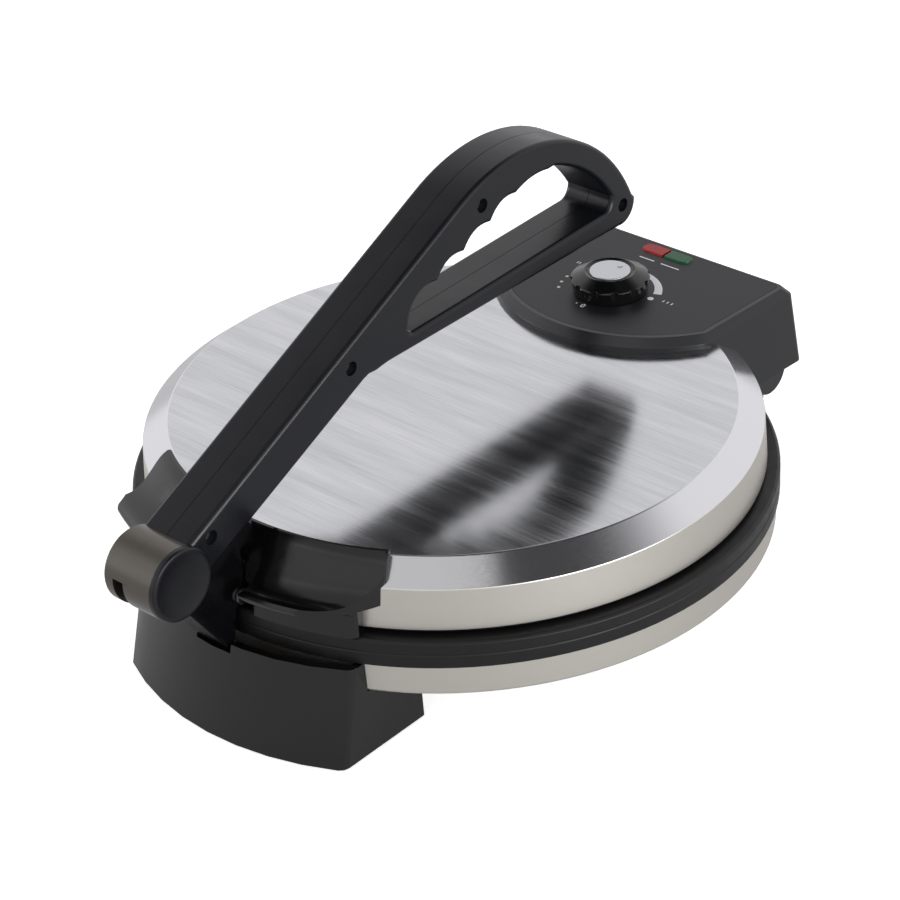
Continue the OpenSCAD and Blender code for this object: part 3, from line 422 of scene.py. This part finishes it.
def turned(name, rings):
    """A piece turned round the lid's axis: a disc that is extruded and scaled from ring to ring.

    The rings are (radius, height) in millimetres, and the first and the last are filled flat."""
    deselect()
    bpy.ops.mesh.primitive_circle_add(vertices=LID_SEGMENTS, radius=rings[0][0] * MM,
                                      fill_type="NGON", location=(0, LID_AXIS, rings[0][1] * MM))
    piece = bpy.context.object
    piece.name = name
    bpy.ops.object.transform_apply(location=True)
    bpy.ops.object.mode_set(mode="EDIT")
    bpy.ops.mesh.select_all(action="SELECT")
    bpy.ops.mesh.poke()
    rim_select(piece)
    for before, after in zip(rings, rings[1:]):
        growth = after[0] / before[0]
        bpy.ops.mesh.extrude_edges_move()
        bpy.ops.transform.translate(value=(0, 0, (after[1] - before[1]) * MM))
        bpy.ops.transform.resize(value=(growth, growth, 1),
                                 center_override=(0, LID_AXIS, after[1] * MM))
    bpy.ops.mesh.edge_face_add()
    bpy.ops.mesh.poke()
    return outward(piece)


lid = turned("spun_lid", (
    [(60, LID_TOP_Z), (120, LID_TOP_Z)]
    + arc((LID_TOP_R - 0.6, LID_TOP_Z - TOP_ROUND), TOP_ROUND, 90, 50, 4)
    + arc((LID_EDGE_R - BEVEL_ROUND, LID_EDGE_Z - 0.1), BEVEL_ROUND, 44, 4, 4)
    + [(LID_EDGE_R + 0.02, LID_EDGE_Z - 0.6)]
    + arc((LID_SKIRT_R - HEM_ROUND, LID_SKIRT_Z + HEM_ROUND), HEM_ROUND, 0, -180, 6)
    + [(LID_EDGE_R - SHEET, LID_EDGE_Z - 1.0), (LID_TOP_R - 1.2, LID_TOP_Z - SHEET)]))
complete(lid, brushed_steel, "lid", "lid_steel", "lid_shell")
lid.data.materials.append(polished_steel)
lid.data.materials.append(drawn_steel)
for face in lid.data.polygons:
    reach = Vector((face.center.x, face.center.y - LID_AXIS)).length
    if reach > (LID_EDGE_R - 0.2) * MM:
        face.material_index = 2
    elif reach > (LID_TOP_R - 0.2) * MM:
        face.material_index = 1

complete(dressed("lid_inner_ring", "lid_ring", 0.3), band_plastic, "lid", "band_plastic",
         "lid_ring")

# ---------------------------------------------------------------- lift tabs, nose and link
# Two glossy lift tabs are clipped to the skirt on both sides of the lever: a scooped lip on a
# curved plate. Between them stand the nose that the lever presses on, and the folding link.

LIP_LOW_Z = 73.4
# Half section of a tab from the lower edge of its plate over the lip to the lid, radius and height.
TAB_SECTION = [
    (143.1, 60.7), (151.0, 60.7), (149.8, 71.5), (151.2, LIP_LOW_Z), (158.6, LIP_LOW_Z),
    (159.6, 74.0), (160.2, 75.2), (160.2, 76.4), (159.4, 77.4), (157.8, 76.9), (155.8, 76.5),
    (153.4, 76.6), (151.0, 77.3), (148.4, 78.8), (145.8, 80.9), (143.6, 83.3), (141.0, 86.5),
    (138.6, 89.6), (136.6, 91.9), (135.0, 93.3), (133.0, 94.6), (131.6, 94.6), (131.0, 93.8),
    (130.5, 90.8), (141.3, 82.1), (142.05, 81.3), (143.05, 62.4)]
TAB_FROM, TAB_TO, TAB_PLATE_TO = 7.0, 30.1, 25.8  # degrees from the front of the lid
TAB_STEPS, CUTTER_STEPS = 26, 12
# The lips end in a round corner about this point, which is cut back further on the right tab.
CORNER_AT = (16.0, -106.0)
CORNER_R = {"right": 56.3, "left": 67.0}
CORNER_LOW_Z, CORNER_HIGH_Z = 30.0, 130.0
# What is cut away under the ends of the lips, radius and height.
LIP_CUTTER = [(138, 55), (170, 55), (170, LIP_LOW_Z), (138, LIP_LOW_Z)]


def spun(name, section, start, end, steps):
    """A section of (radius, height) in millimetres, spun round the lid's axis from angle to angle.

    The angles are in degrees from the front of the lid."""
    deselect()
    bpy.ops.mesh.primitive_circle_add(vertices=len(section), radius=0.01, fill_type="NGON",
                                      location=(0, LID_AXIS, 0))
    piece = bpy.context.object
    piece.name = name
    bpy.ops.object.transform_apply(location=True)
    across, along = math.sin(math.radians(start)), -math.cos(math.radians(start))
    for vertex, (radius, height) in zip(piece.data.vertices, section):
        vertex.co = (radius * MM * across, LID_AXIS + radius * MM * along, height * MM)
    bpy.ops.object.mode_set(mode="EDIT")
    bpy.ops.mesh.select_all(action="SELECT")
    # Without a window the spin turns the other way round.
    bpy.ops.mesh.spin(steps=steps, angle=-math.radians(end - start), center=(0, LID_AXIS, 0),
                      axis=(0, 0, 1))
    bpy.ops.mesh.select_all(action="SELECT")
    bpy.ops.mesh.remove_doubles(threshold=0.001 * MM)
    return outward(piece)


def cut(piece, tool, operation="DIFFERENCE"):
    """Cuts the piece with the shape of the tool, and deletes the tool."""
    pick(piece)
    taken = piece.modifiers.new("cut", "BOOLEAN")
    taken.operation = operation
    taken.solver = "EXACT"
    taken.object = tool
    bpy.ops.object.modifier_apply(modifier=taken.name)
    bpy.data.objects.remove(tool)


for side in ("right", "left"):
    tab = spun("lift_tab_moulding_" + side, TAB_SECTION, TAB_FROM, TAB_TO, TAB_STEPS)
    deselect()
    bpy.ops.mesh.primitive_cylinder_add(
        vertices=256, radius=CORNER_R[side] * MM, depth=(CORNER_HIGH_Z - CORNER_LOW_Z) * MM,
        location=(CORNER_AT[0] * MM, LID_AXIS + CORNER_AT[1] * MM,
                  (CORNER_LOW_Z + CORNER_HIGH_Z) / 2 * MM))
    cut(tab, bpy.context.object, "INTERSECT")
    cut(tab, spun("below_the_lip", LIP_CUTTER, TAB_PLATE_TO, 45, CUTTER_STEPS))
    rounded(tab, 0.7, 3, math.radians(35))
    if side == "left":
        pick(tab)
        tab.scale.x = -1
        bpy.ops.object.transform_apply(scale=True)
        bpy.ops.object.mode_set(mode="EDIT")
        outward(tab)
    complete(tab, glossy_abs, "lid", "tab_plastic", "lift_tab_" + side)
complete(dressed("press_nose", "lid_nose", 0), glossy_abs, "lid", "tab_plastic", "lid_nose")
complete(dressed("folding_link", "lever_link", 0), glossy_abs, "link", "link_plastic",
         "lever_link")

# ---------------------------------------------------------------- lever
# Two ABS shells, screwed together from the right, make the long press lever. Their seam runs down
# the middle, and the grip loop has four finger grooves on its upper side.

# Grained ABS, moulded: dark grey, with broad soft highlights along its edges from a grain of
# 0.7 mm, and a sheen that changes over 14 mm.
grained_abs, shader = material("grained_abs", "#0a0b10", 0.3, Specular_IOR_Level=0.36)
place = add(grained_abs, "ShaderNodeTexCoord")
grain = add(grained_abs, "ShaderNodeTexNoise",
            {"Vector": place.outputs["Object"], "Scale": per_metre(0.7), "Detail": 4})
bump = add(grained_abs, "ShaderNodeBump",
           {"Height": grain.outputs["Fac"], "Distance": 0.018 * MM, "Strength": 0.3})
feed(shader, "Normal", bump.outputs["Normal"])
flow = add(grained_abs, "ShaderNodeTexNoise",
           {"Vector": place.outputs["Object"], "Scale": per_metre(14), "Detail": 3})
sheen = add(grained_abs, "ShaderNodeMapRange",
            {"Value": flow.outputs["Fac"], "From Min": 0.3, "From Max": 0.7,
             "To Min": 0.27, "To Max": 0.35})
feed(shader, "Roughness", sheen.outputs["Result"])

# Lengths are in millimetres, and a place is its y from the lid's axis and its height above the
# table.
LEVER_HALF_W = 14.0
CROWN = 2.4  # radius of the rounded edges, which grow outwards from the outline
SEAM_HALF = 0.13  # half of the gap between the shells, which shows as the dark seam
BARREL_AT, BARREL_R = (-184.6, 93.7), 16.7
UNDER_AT, UNDER_SLOPE = (-162, 93.3), 0.47  # a point on the arm's underside, and its rise
UNDER_FROM_Y, UNDER_TO_Y = -178, -70
CROOK = [(-66, 140.3), (-61, 140.0), (-57, 140.5)]  # where the underside runs into the grip's
GRIP_FROM_Y, GRIP_LOW_Z = -53, 138.5
HEEL_AT, HEEL_R, HEEL_STEPS = (106.5, 147.9), 9.4, 16  # the blunt rear end of the grip
BACK_AT, BACK_R = (38, 118), 83  # the round back over the fingers
HUMP_AT, HUMP_R = (38, 111), 90  # the drawn-up hump between the back and the arm
ARM_TILT, ARM_FRONT_Y = 26.1, -180
GRIP_WALL = 7.5  # between the back and the opening
CUSP_AT, CUSP_STEP = (34, 187), (-18.2, -6.9)  # first cusp between two grooves, and the next ones
GROOVES, GROOVE_DEPTH, FIRST_DEPTH = 4, 3.0, 1.8
SCREW_SPOTS = [(-165, 106.4), (-76.7, 146.2), (10.9, 188.1), (108.3, 149.2)]
HEAD_HOLE_R, HEAD_HOLE_DEPTH = 3.3, 6


def underside(y):
    """A point of the outline on the arm's underside."""
    return (y, UNDER_AT[1] + UNDER_SLOPE * (y - UNDER_AT[0]) + CROWN)


def finger_groove(start, end, depth):
    """Points of one finger groove, raised by depth in its middle."""
    run, rise = end[0] - start[0], end[1] - start[1]
    length = math.hypot(run, rise)
    return [(start[0] + run * t + rise / length * depth * 4 * t * (1 - t),
             start[1] + rise * t - run / length * depth * 4 * t * (1 - t))
            for t in [i / 10 for i in range(10)]]


# The rounded edges stand out from the outline by the crown. Along the underside the outline is
# drawn in by as much, and round the heel that fades out.
heel = []
for i in range(HEEL_STEPS + 1):
    radius = HEEL_R - CROWN * (1 - i / HEEL_STEPS)
    turn = math.radians(-90 + 96 * i / HEEL_STEPS)
    heel.append((HEEL_AT[0] + radius * math.cos(turn), HEEL_AT[1] + radius * math.sin(turn)))
tilt = math.radians(ARM_TILT)
arm_end = (HUMP_AT[0] - HUMP_R * math.sin(tilt), HUMP_AT[1] + HUMP_R * math.cos(tilt))
lever_side = (
    [underside(UNDER_FROM_Y), underside(UNDER_TO_Y)] + CROOK
    + [(GRIP_FROM_Y, GRIP_LOW_Z + CROWN)] + heel
    + arc(BACK_AT, BACK_R, 23, 88, 28) + arc(HUMP_AT, HUMP_R, 90, 90 + ARM_TILT, 12)
    + [(ARM_FRONT_Y, arm_end[1] - math.tan(tilt) * (arm_end[0] - ARM_FRONT_Y))])

cusps = [(CUSP_AT[0] + CUSP_STEP[0] * k, CUSP_AT[1] + CUSP_STEP[1] * k)
         for k in range(GROOVES + 1)]
grip_opening = (arc((-36.3, 149.6), 6, 180, 268, 10) + arc((94.6, 155.4), 8.4, -88, 2, 12)
                + arc(BACK_AT, BACK_R - GRIP_WALL, 30, 72, 18)
                + finger_groove((57, 189.6), cusps[0], FIRST_DEPTH))
for before, after in zip(cusps, cusps[1:]):
    grip_opening += finger_groove(before, after, GROOVE_DEPTH)
grip_opening.append((cusps[-1][0] - 1, cusps[-1][1] - 1.5))


def flat_curve(name, outlines, half_thickness):
    """A filled curve with outlines of (x, y) in metres, in the horizontal plane."""
    curve = bpy.data.curves.new(name, "CURVE")
    curve.dimensions = "2D"
    curve.fill_mode = "BOTH"
    curve.extrude = half_thickness
    for points in outlines:
        spline = curve.splines.new("POLY")
        spline.points.add(len(points) - 1)
        spline.use_cyclic_u = True
        for point, (x, y) in zip(spline.points, points):
            point.co = (x, y, 0, 1)
    shape = bpy.data.objects.new(name, curve)
    bpy.context.scene.collection.objects.link(shape)
    return shape


def x_drill(x0, x1, at, radius, segments):
    """A drill along X, to cut with."""
    deselect()
    bpy.ops.mesh.primitive_cylinder_add(
        vertices=segments, radius=radius * MM, depth=(x1 - x0) * MM,
        location=((x0 + x1) / 2 * MM, LID_AXIS + at[0] * MM, at[1] * MM),
        rotation=(0, math.radians(90), 0))
    return bpy.context.object


for side, sign in (("left", -1), ("right", 1)):
    shell = flat_curve("handle_shell_" + side,
                       [[(LID_AXIS + y * MM, z * MM) for y, z in outline]
                        for outline in (lever_side, grip_opening)],
                       (LEVER_HALF_W - CROWN) * MM)
    shell.data.bevel_depth = CROWN * MM
    shell.data.bevel_resolution = 4
    # The drawing plane is stood up: its x runs along Y and its y along Z.
    shell.matrix_world = Matrix(((0, 0, 1, 0), (1, 0, 0, 0), (0, 1, 0, 0), (0, 0, 0, 1)))
    pick(shell)
    bpy.ops.object.convert(target="MESH")
    bpy.ops.object.transform_apply(location=True, rotation=True, scale=True)
    bpy.ops.object.mode_set(mode="EDIT")
    bpy.ops.mesh.select_all(action="SELECT")
    bpy.ops.mesh.remove_doubles(threshold=0.005 * MM)
    bpy.ops.mesh.bisect(plane_co=(sign * SEAM_HALF * MM, 0, 0), plane_no=(sign, 0, 0),
                        clear_inner=True)
    rim_select(shell)
    bpy.ops.mesh.fill()
    outward(shell)
    cut(shell, x_drill(-20, 20, BARREL_AT, BARREL_R + 0.05, 160))
    if side == "right":
        for spot in SCREW_SPOTS:
            cut(shell, x_drill(LEVER_HALF_W - HEAD_HOLE_DEPTH, LEVER_HALF_W + 2, spot,
                               HEAD_HOLE_R, 48))
    complete(rounded(shell, 0.35, 2, math.radians(50)), grained_abs, "lever", "lever_plastic",
             "handle_%s_half" % side)
complete(dressed("handle_screw_set", "handle_screws", 0), zinc_plate, "lever", "screw_steel",
         "handle_screws")

# ---------------------------------------------------------------- barrel
# The barrel at the lever's front end is moulded in two halves with a metallic lacquer, and slotted
# on the left for the link. A dished cap closes each end.

# Metallic lacquer, sprayed: warm grey with a satin sheen. The flakes, drawn 0.8 mm long so that
# they show, break up its reflections a little.
satin_metal, shader = material("satin_metallic_lacquer", "#5f5b55", 0.24, metallic=0.9)
place = add(satin_metal, "ShaderNodeTexCoord")
crowded = add(satin_metal, "ShaderNodeMapping",
              {"Vector": place.outputs["Object"], "Scale": (1, 8, 8)})
flake = add(satin_metal, "ShaderNodeTexNoise",
            {"Vector": crowded.outputs["Vector"], "Scale": per_metre(0.8), "Detail": 4})
sheen = add(satin_metal, "ShaderNodeMapRange",
            {"Value": flake.outputs["Fac"], "From Min": 0.3, "From Max": 0.7,
             "To Min": 0.2, "To Max": 0.28})
feed(shader, "Roughness", sheen.outputs["Result"])

for side in ("left", "right"):
    complete(dressed("barrel_shell_" + side, "barrel_%s_half" % side, 0.25), satin_metal, "lever",
             "barrel_metal", "barrel_%s_half" % side)
    complete(dressed("barrel_end_" + side, "barrel_cap_" + side, 0.2), grained_abs, "lever",
             "cap_plastic", "barrel_cap_" + side)

# ---------------------------------------------------------------- control housing
# The moulded housing sits on the back of the lid and overhangs the hinge. A flat panel with the
# dial and the lights is let into its top, and a flat cover closes the overhang from below.

# ABS from a finely etched mould: nearly black and satin, with a grain of 0.8 mm.
housing_abs, shader = material("housing_abs", "#0e0f12", 0.32)
place = add(housing_abs, "ShaderNodeTexCoord")
grain = add(housing_abs, "ShaderNodeTexNoise",
            {"Vector": place.outputs["Object"], "Scale": per_metre(0.8), "Detail": 4})
bump = add(housing_abs, "ShaderNodeBump",
           {"Height": grain.outputs["Fac"], "Distance": 0.015 * MM, "Strength": 0.3})
feed(shader, "Normal", bump.outputs["Normal"])

# Satin plastic panel, cut from sheet: flatter and duller than the housing, with a 0.5 mm grain.
panel_sheet, shader = material("satin_panel", "#101116", 0.45, Specular_IOR_Level=0.4)
place = add(panel_sheet, "ShaderNodeTexCoord")
grain = add(panel_sheet, "ShaderNodeTexNoise",
            {"Vector": place.outputs["Object"], "Scale": per_metre(0.5), "Detail": 3})
bump = add(panel_sheet, "ShaderNodeBump",
           {"Height": grain.outputs["Fac"], "Distance": 0.008 * MM, "Strength": 0.25})
feed(shader, "Normal", bump.outputs["Normal"])

complete(dressed("housing_moulding", "control_housing", 0.8, 3), housing_abs, "lid",
         "housing_plastic", "control_housing")
complete(dressed("housing_cover", "housing_floor", 0.3), band_plastic, "lid", "band_plastic",
         "housing_floor")
complete(dressed("dial_panel", "control_panel", 0.2), panel_sheet, "lid", "panel_plastic",
         "control_panel")

# ---------------------------------------------------------------- dial print
# The dial is screen-printed on the panel: a zero, a growing crescent and dots round the knob, with
# plain strokes beside its two ends and in front of the lights.

# Screen-print ink: a thin matte white film with a 0.5 mm grain from the mesh of the screen.
ink, shader = material("screen_print_ink", "#e6e8ea", 0.55)
place = add(ink, "ShaderNodeTexCoord")
grain = add(ink, "ShaderNodeTexNoise",
            {"Vector": place.outputs["Object"], "Scale": per_metre(0.5), "Detail": 3})
bump = add(ink, "ShaderNodeBump",
           {"Height": grain.outputs["Fac"], "Distance": 0.01 * MM, "Strength": 0.3})
feed(shader, "Normal", bump.outputs["Normal"])

# Lengths are in millimetres from the knob's axis, and angles in degrees from +X.
PANEL_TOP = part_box("control_panel")[1][2]
DIAL_X, DIAL_Y = [(low + high) / 2 for low, high in zip(*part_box("knob"))][:2]
FILM_HALF, FILM_RISE = 0.03 * MM, 0.02 * MM
CRESCENT_R, CRESCENT_FROM, CRESCENT_TO, CRESCENT_STEPS = 21.2, 150, 23, 40
CRESCENT_THIN, CRESCENT_THICK = 0.1, 4.0  # its thickness at the start, and what it grows by
DOTS = [(10, 21.8, 1.5), (212, 25, 0.8), (199, 25, 0.8), (185.6, 25, 0.8), (259, 21, 0.4)]
END_MARKS = [(157, 1.364), (10, 2.48)]  # where three short strokes stand, and their pitch
END_MARK_R, END_MARK_HALF, END_MARK_W = 31, 0.9, 0.5
LIGHT_MARKS, LIGHT_MARK_Y, LIGHT_MARK_W = [(-9.6, -0.6), (3.6, 14.4)], 34.9, 0.7
ZERO_SIZE, ZERO_AT = 4.6, -21


def on_circle(radius, angle):
    """The point of the dial at a radius and an angle."""
    return (radius * math.cos(math.radians(angle)), radius * math.sin(math.radians(angle)))


def printed(name, points):
    """A mark of the dial: a thin film with the outline points."""
    return flat_curve(name, [[(DIAL_X + x * MM, DIAL_Y + y * MM) for x, y in points]], FILM_HALF)


def stroke(x0, y0, x1, y1, width):
    """The outline of a straight mark between two points."""
    length = math.hypot(x1 - x0, y1 - y0)
    nx, ny = -(y1 - y0) / length * width / 2, (x1 - x0) / length * width / 2
    return [(x0 - nx, y0 - ny), (x1 - nx, y1 - ny), (x1 + nx, y1 + ny), (x0 + nx, y0 + ny)]


inner, outer = [], []
for i in range(CRESCENT_STEPS + 1):
    share = i / CRESCENT_STEPS
    angle = CRESCENT_FROM + (CRESCENT_TO - CRESCENT_FROM) * share
    thickness = CRESCENT_THIN + CRESCENT_THICK * share ** 0.8
    inner.append(on_circle(CRESCENT_R, angle))
    outer.append(on_circle(CRESCENT_R + thickness, angle))
marks = [printed("dial_crescent", inner + outer[::-1])]
for angle, radius, size in DOTS:
    marks.append(printed("dial_dot", arc(on_circle(radius, angle), size, 0, 345, 23)))
for angle, pitch in END_MARKS:
    x, y = on_circle(END_MARK_R, angle)
    for offset in (-pitch, 0, pitch):
        marks.append(printed("dial_stroke", stroke(
            x + offset, y - END_MARK_HALF, x + offset, y + END_MARK_HALF, END_MARK_W)))
for x0, x1 in LIGHT_MARKS:
    marks.append(printed("light_stroke",
                         stroke(x0, LIGHT_MARK_Y, x1, LIGHT_MARK_Y, LIGHT_MARK_W)))
bpy.ops.object.text_add(location=(DIAL_X, DIAL_Y + ZERO_AT * MM, 0))
zero = bpy.context.object
zero.data.body = "0"
zero.data.size = ZERO_SIZE * MM
zero.data.align_x = "CENTER"
zero.data.align_y = "CENTER"
zero.data.extrude = FILM_HALF
marks.append(zero)
pick(marks[0])
for mark in marks:
    mark.location.z = PANEL_TOP + FILM_RISE
    mark.select_set(True)
bpy.ops.object.convert(target="MESH")
bpy.ops.object.join()
dial = bpy.context.object
dial.name = "dial_print"
complete(dial, ink, "lid", "panel_plastic")

# ---------------------------------------------------------------- lights
# A red and a green window, moulded in tinted plastic, share a pill-shaped hole in the panel. Each
# has a small lamp behind it.

# Tinted acrylic, moulded with facets of about 2.4 mm on the inside: a deep, glossy colour that is
# broken up softly by the facets.
for tint, colour in (("red", "#9a0805"), ("green", "#02502a")):
    lens, shader = material(tint + "_tinted_lens", colour, 0.22, IOR=1.49, Specular_IOR_Level=0.3)
    place = add(lens, "ShaderNodeTexCoord")
    facets = add(lens, "ShaderNodeTexVoronoi", {"Vector": place.outputs["Object"], "Scale": 420})
    bump = add(lens, "ShaderNodeBump",
               {"Height": facets.outputs["Distance"], "Distance": 0.3 * MM, "Strength": 0.25})
    feed(shader, "Normal", bump.outputs["Normal"])
    complete(dressed(tint + "_light", tint + "_window", 0.3), lens, "lid", tint + "_lens",
             tint + "_window")

# Soda glass of the lamps: clear, with a warm tint that is a painted glow from the lamp behind it,
# and a little dust, 1 mm apart.
lamp_glass, shader = material("lamp_glass", "#ffd9b0", 0.08, Transmission_Weight=0.8)
place = add(lamp_glass, "ShaderNodeTexCoord")
dust = add(lamp_glass, "ShaderNodeTexNoise",
           {"Vector": place.outputs["Object"], "Scale": per_metre(1), "Detail": 3})
sheen = add(lamp_glass, "ShaderNodeMapRange",
            {"Value": dust.outputs["Fac"], "From Min": 0.3, "From Max": 0.7,
             "To Min": 0.05, "To Max": 0.12})
feed(shader, "Roughness", sheen.outputs["Result"])

complete(dressed("indicator_lamps_part", "indicator_lamps", 0.2), lamp_glass, "lid", "lamp_glass",
         "indicator_lamps")

# ---------------------------------------------------------------- inside the housing
# The thermostat, the thermal cut-out and the terminal block are fixed inside the lid and the
# housing. A rubber bush sits in the hole of the back wall.

# Glazed ceramic: cream, with clear highlights that a glaze 2 mm wavy breaks up.
glazed_ceramic, shader = material("glazed_ceramic", "#ded6c4", 0.25)
place = add(glazed_ceramic, "ShaderNodeTexCoord")
glaze = add(glazed_ceramic, "ShaderNodeTexNoise",
            {"Vector": place.outputs["Object"], "Scale": per_metre(2), "Detail": 4})
bump = add(glazed_ceramic, "ShaderNodeBump",
           {"Height": glaze.outputs["Fac"], "Distance": 0.02 * MM, "Strength": 0.3})
feed(shader, "Normal", bump.outputs["Normal"])

for node, made, slot in (("thermostat", glazed_ceramic, "thermostat_body"),
                         ("thermal_fuse", glazed_ceramic, "fuse_sleeve"),
                         ("terminal_block", glazed_ceramic, "terminal_plastic"),
                         ("cord_grommet", rubber, "grommet_rubber")):
    complete(dressed(node + "_part", node, 0.2), made, "lid", slot, node)

# ---------------------------------------------------------------- knob
# A glossy fluted knob turns the thermostat. It is moulded, and a silver disc with a sunk pointer
# is let into its top.

# Glossy ABS of the knob: clear highlights on every flute, wavy over 6 mm.
knob_gloss, shader = material("knob_abs", "#0c0c0d", 0.14)
place = add(knob_gloss, "ShaderNodeTexCoord")
wave = add(knob_gloss, "ShaderNodeTexNoise",
           {"Vector": place.outputs["Object"], "Scale": per_metre(6), "Detail": 1})
bump = add(knob_gloss, "ShaderNodeBump",
           {"Height": wave.outputs["Fac"], "Distance": 0.1 * MM, "Strength": 0.1})
feed(shader, "Normal", bump.outputs["Normal"])

# Anodised aluminium, etched satin: pale silver, with a sheen that changes over 0.5 mm.
satin_disc, shader = material("anodised_disc", "#c6c7cb", 0.32, metallic=0.9)
place = add(satin_disc, "ShaderNodeTexCoord")
etching = add(satin_disc, "ShaderNodeTexNoise",
              {"Vector": place.outputs["Object"], "Scale": per_metre(0.5), "Detail": 3})
sheen = add(satin_disc, "ShaderNodeMapRange",
            {"Value": etching.outputs["Fac"], "From Min": 0.3, "From Max": 0.7,
             "To Min": 0.28, "To Max": 0.38})
feed(shader, "Roughness", sheen.outputs["Result"])

complete(dressed("fluted_knob", "knob", 0.3), knob_gloss, "knob", "knob_plastic", "knob")
complete(dressed("knob_face", "knob_disc", 0.1), satin_disc, "knob", "disc_metal", "knob_disc")

# ---------------------------------------------------------------- studio
# A pale floor, a white room with a dim ceiling, and three soft lights: a large one from the right,
# one from above and a small one from the front left.

WHITE = linear("#ffffff")

# Painted floor: the camera sees it lit to white, and the steel mirrors the grey that it is by
# itself.
pale, shader = material("pale_floor", "#ffffff", 0.8)
ray = add(pale, "ShaderNodeLightPath")
tone = add(pale, "ShaderNodeMix",
           {"Factor": ray.outputs["Is Camera Ray"], 6: linear("#b4b4b4"), 7: WHITE},
           {"data_type": "RGBA"})
feed(shader, "Base Color", tone.outputs[2])
glow = add(pale, "ShaderNodeMapRange",
           {"Value": ray.outputs["Is Camera Ray"], "To Min": 0.24, "To Max": 0.62})
shader.inputs["Emission Color"].default_value = WHITE
feed(shader, "Emission Strength", glow.outputs["Result"])

deselect()
bpy.ops.mesh.primitive_plane_add(size=8, location=(0, 0, -0.2 * MM))
floor = bpy.context.object
floor.name = "studio_floor"
floor.data.materials.append(pale)


def aim(direction, up, at):
    """The matrix of something at a point that looks along direction, with up upwards."""
    forward = Vector(direction).normalized()
    right = forward.cross(Vector(up)).normalized()
    upward = right.cross(forward)
    turn = Matrix((right, upward, -forward)).transposed().to_4x4()
    return Matrix.Translation(at) @ turn


def softbox(name, at, target, size, power):
    """A rectangular soft light aimed at a point."""
    lamp = bpy.data.lights.new(name, "AREA")
    lamp.shape = "RECTANGLE"
    lamp.size, lamp.size_y = size
    lamp.energy = power
    holder = bpy.data.objects.new(name, lamp)
    bpy.context.scene.collection.objects.link(holder)
    holder.matrix_world = aim(Vector(target) - Vector(at), (0, 0, 1), at)


softbox("right_softbox", (1.5, -0.1, 0.35), (0, 0, 0.08), (1.1, 0.5), 14)
softbox("overhead_softbox", (0.0, -0.72, 1.5), (0, 0, 0.08), (1.3, 1.0), 2.6)
softbox("front_left_softbox", (-1.2, -0.75, 0.25), (0, 0, 0.06), (0.3, 0.45), 5)

# The room is white low down and all round, and falls off to a dim ceiling.
room = bpy.data.worlds.new("studio")
bpy.context.scene.world = room
room.use_nodes = True
direction = add(room, "ShaderNodeTexCoord")
height = add(room, "ShaderNodeSeparateXYZ", {"Vector": direction.outputs["Generated"]})
falloff = add(room, "ShaderNodeMapRange",
              {"Value": height.outputs["Z"], "From Min": 0.66, "From Max": 0.88,
               "To Min": 1.0, "To Max": 0.06},
              {"interpolation_type": "SMOOTHSTEP"})
background = room.node_tree.nodes["Background"]
background.inputs["Color"].default_value = (0.98, 0.98, 1.0, 1)
feed(background, "Strength", falloff.outputs["Result"])

# The camera of the photograph, found from the circles of the lid and the pairs of points that
# are alike on both sides of the lever.
LENS_PX, FRAME_PX = 2800.0, 900.0
SENSOR = 36.0
CAMERA_AT = (0.7523, -0.8044 + LID_AXIS, 0.7349)
LOOK = (-0.5845, 0.6223, -0.5207)
PICTURE_UP = (-0.3158, 0.4168, 0.8526)
eye = bpy.data.cameras.new("photo_camera")
eye.sensor_width = SENSOR
eye.lens = LENS_PX / FRAME_PX * SENSOR
eye.clip_start = 0.05
viewer = bpy.data.objects.new("photo_camera", eye)
bpy.context.scene.collection.objects.link(viewer)
viewer.matrix_world = aim(LOOK, PICTURE_UP, CAMERA_AT)
bpy.context.scene.camera = viewer
bpy.context.scene.view_settings.view_transform = "Standard"
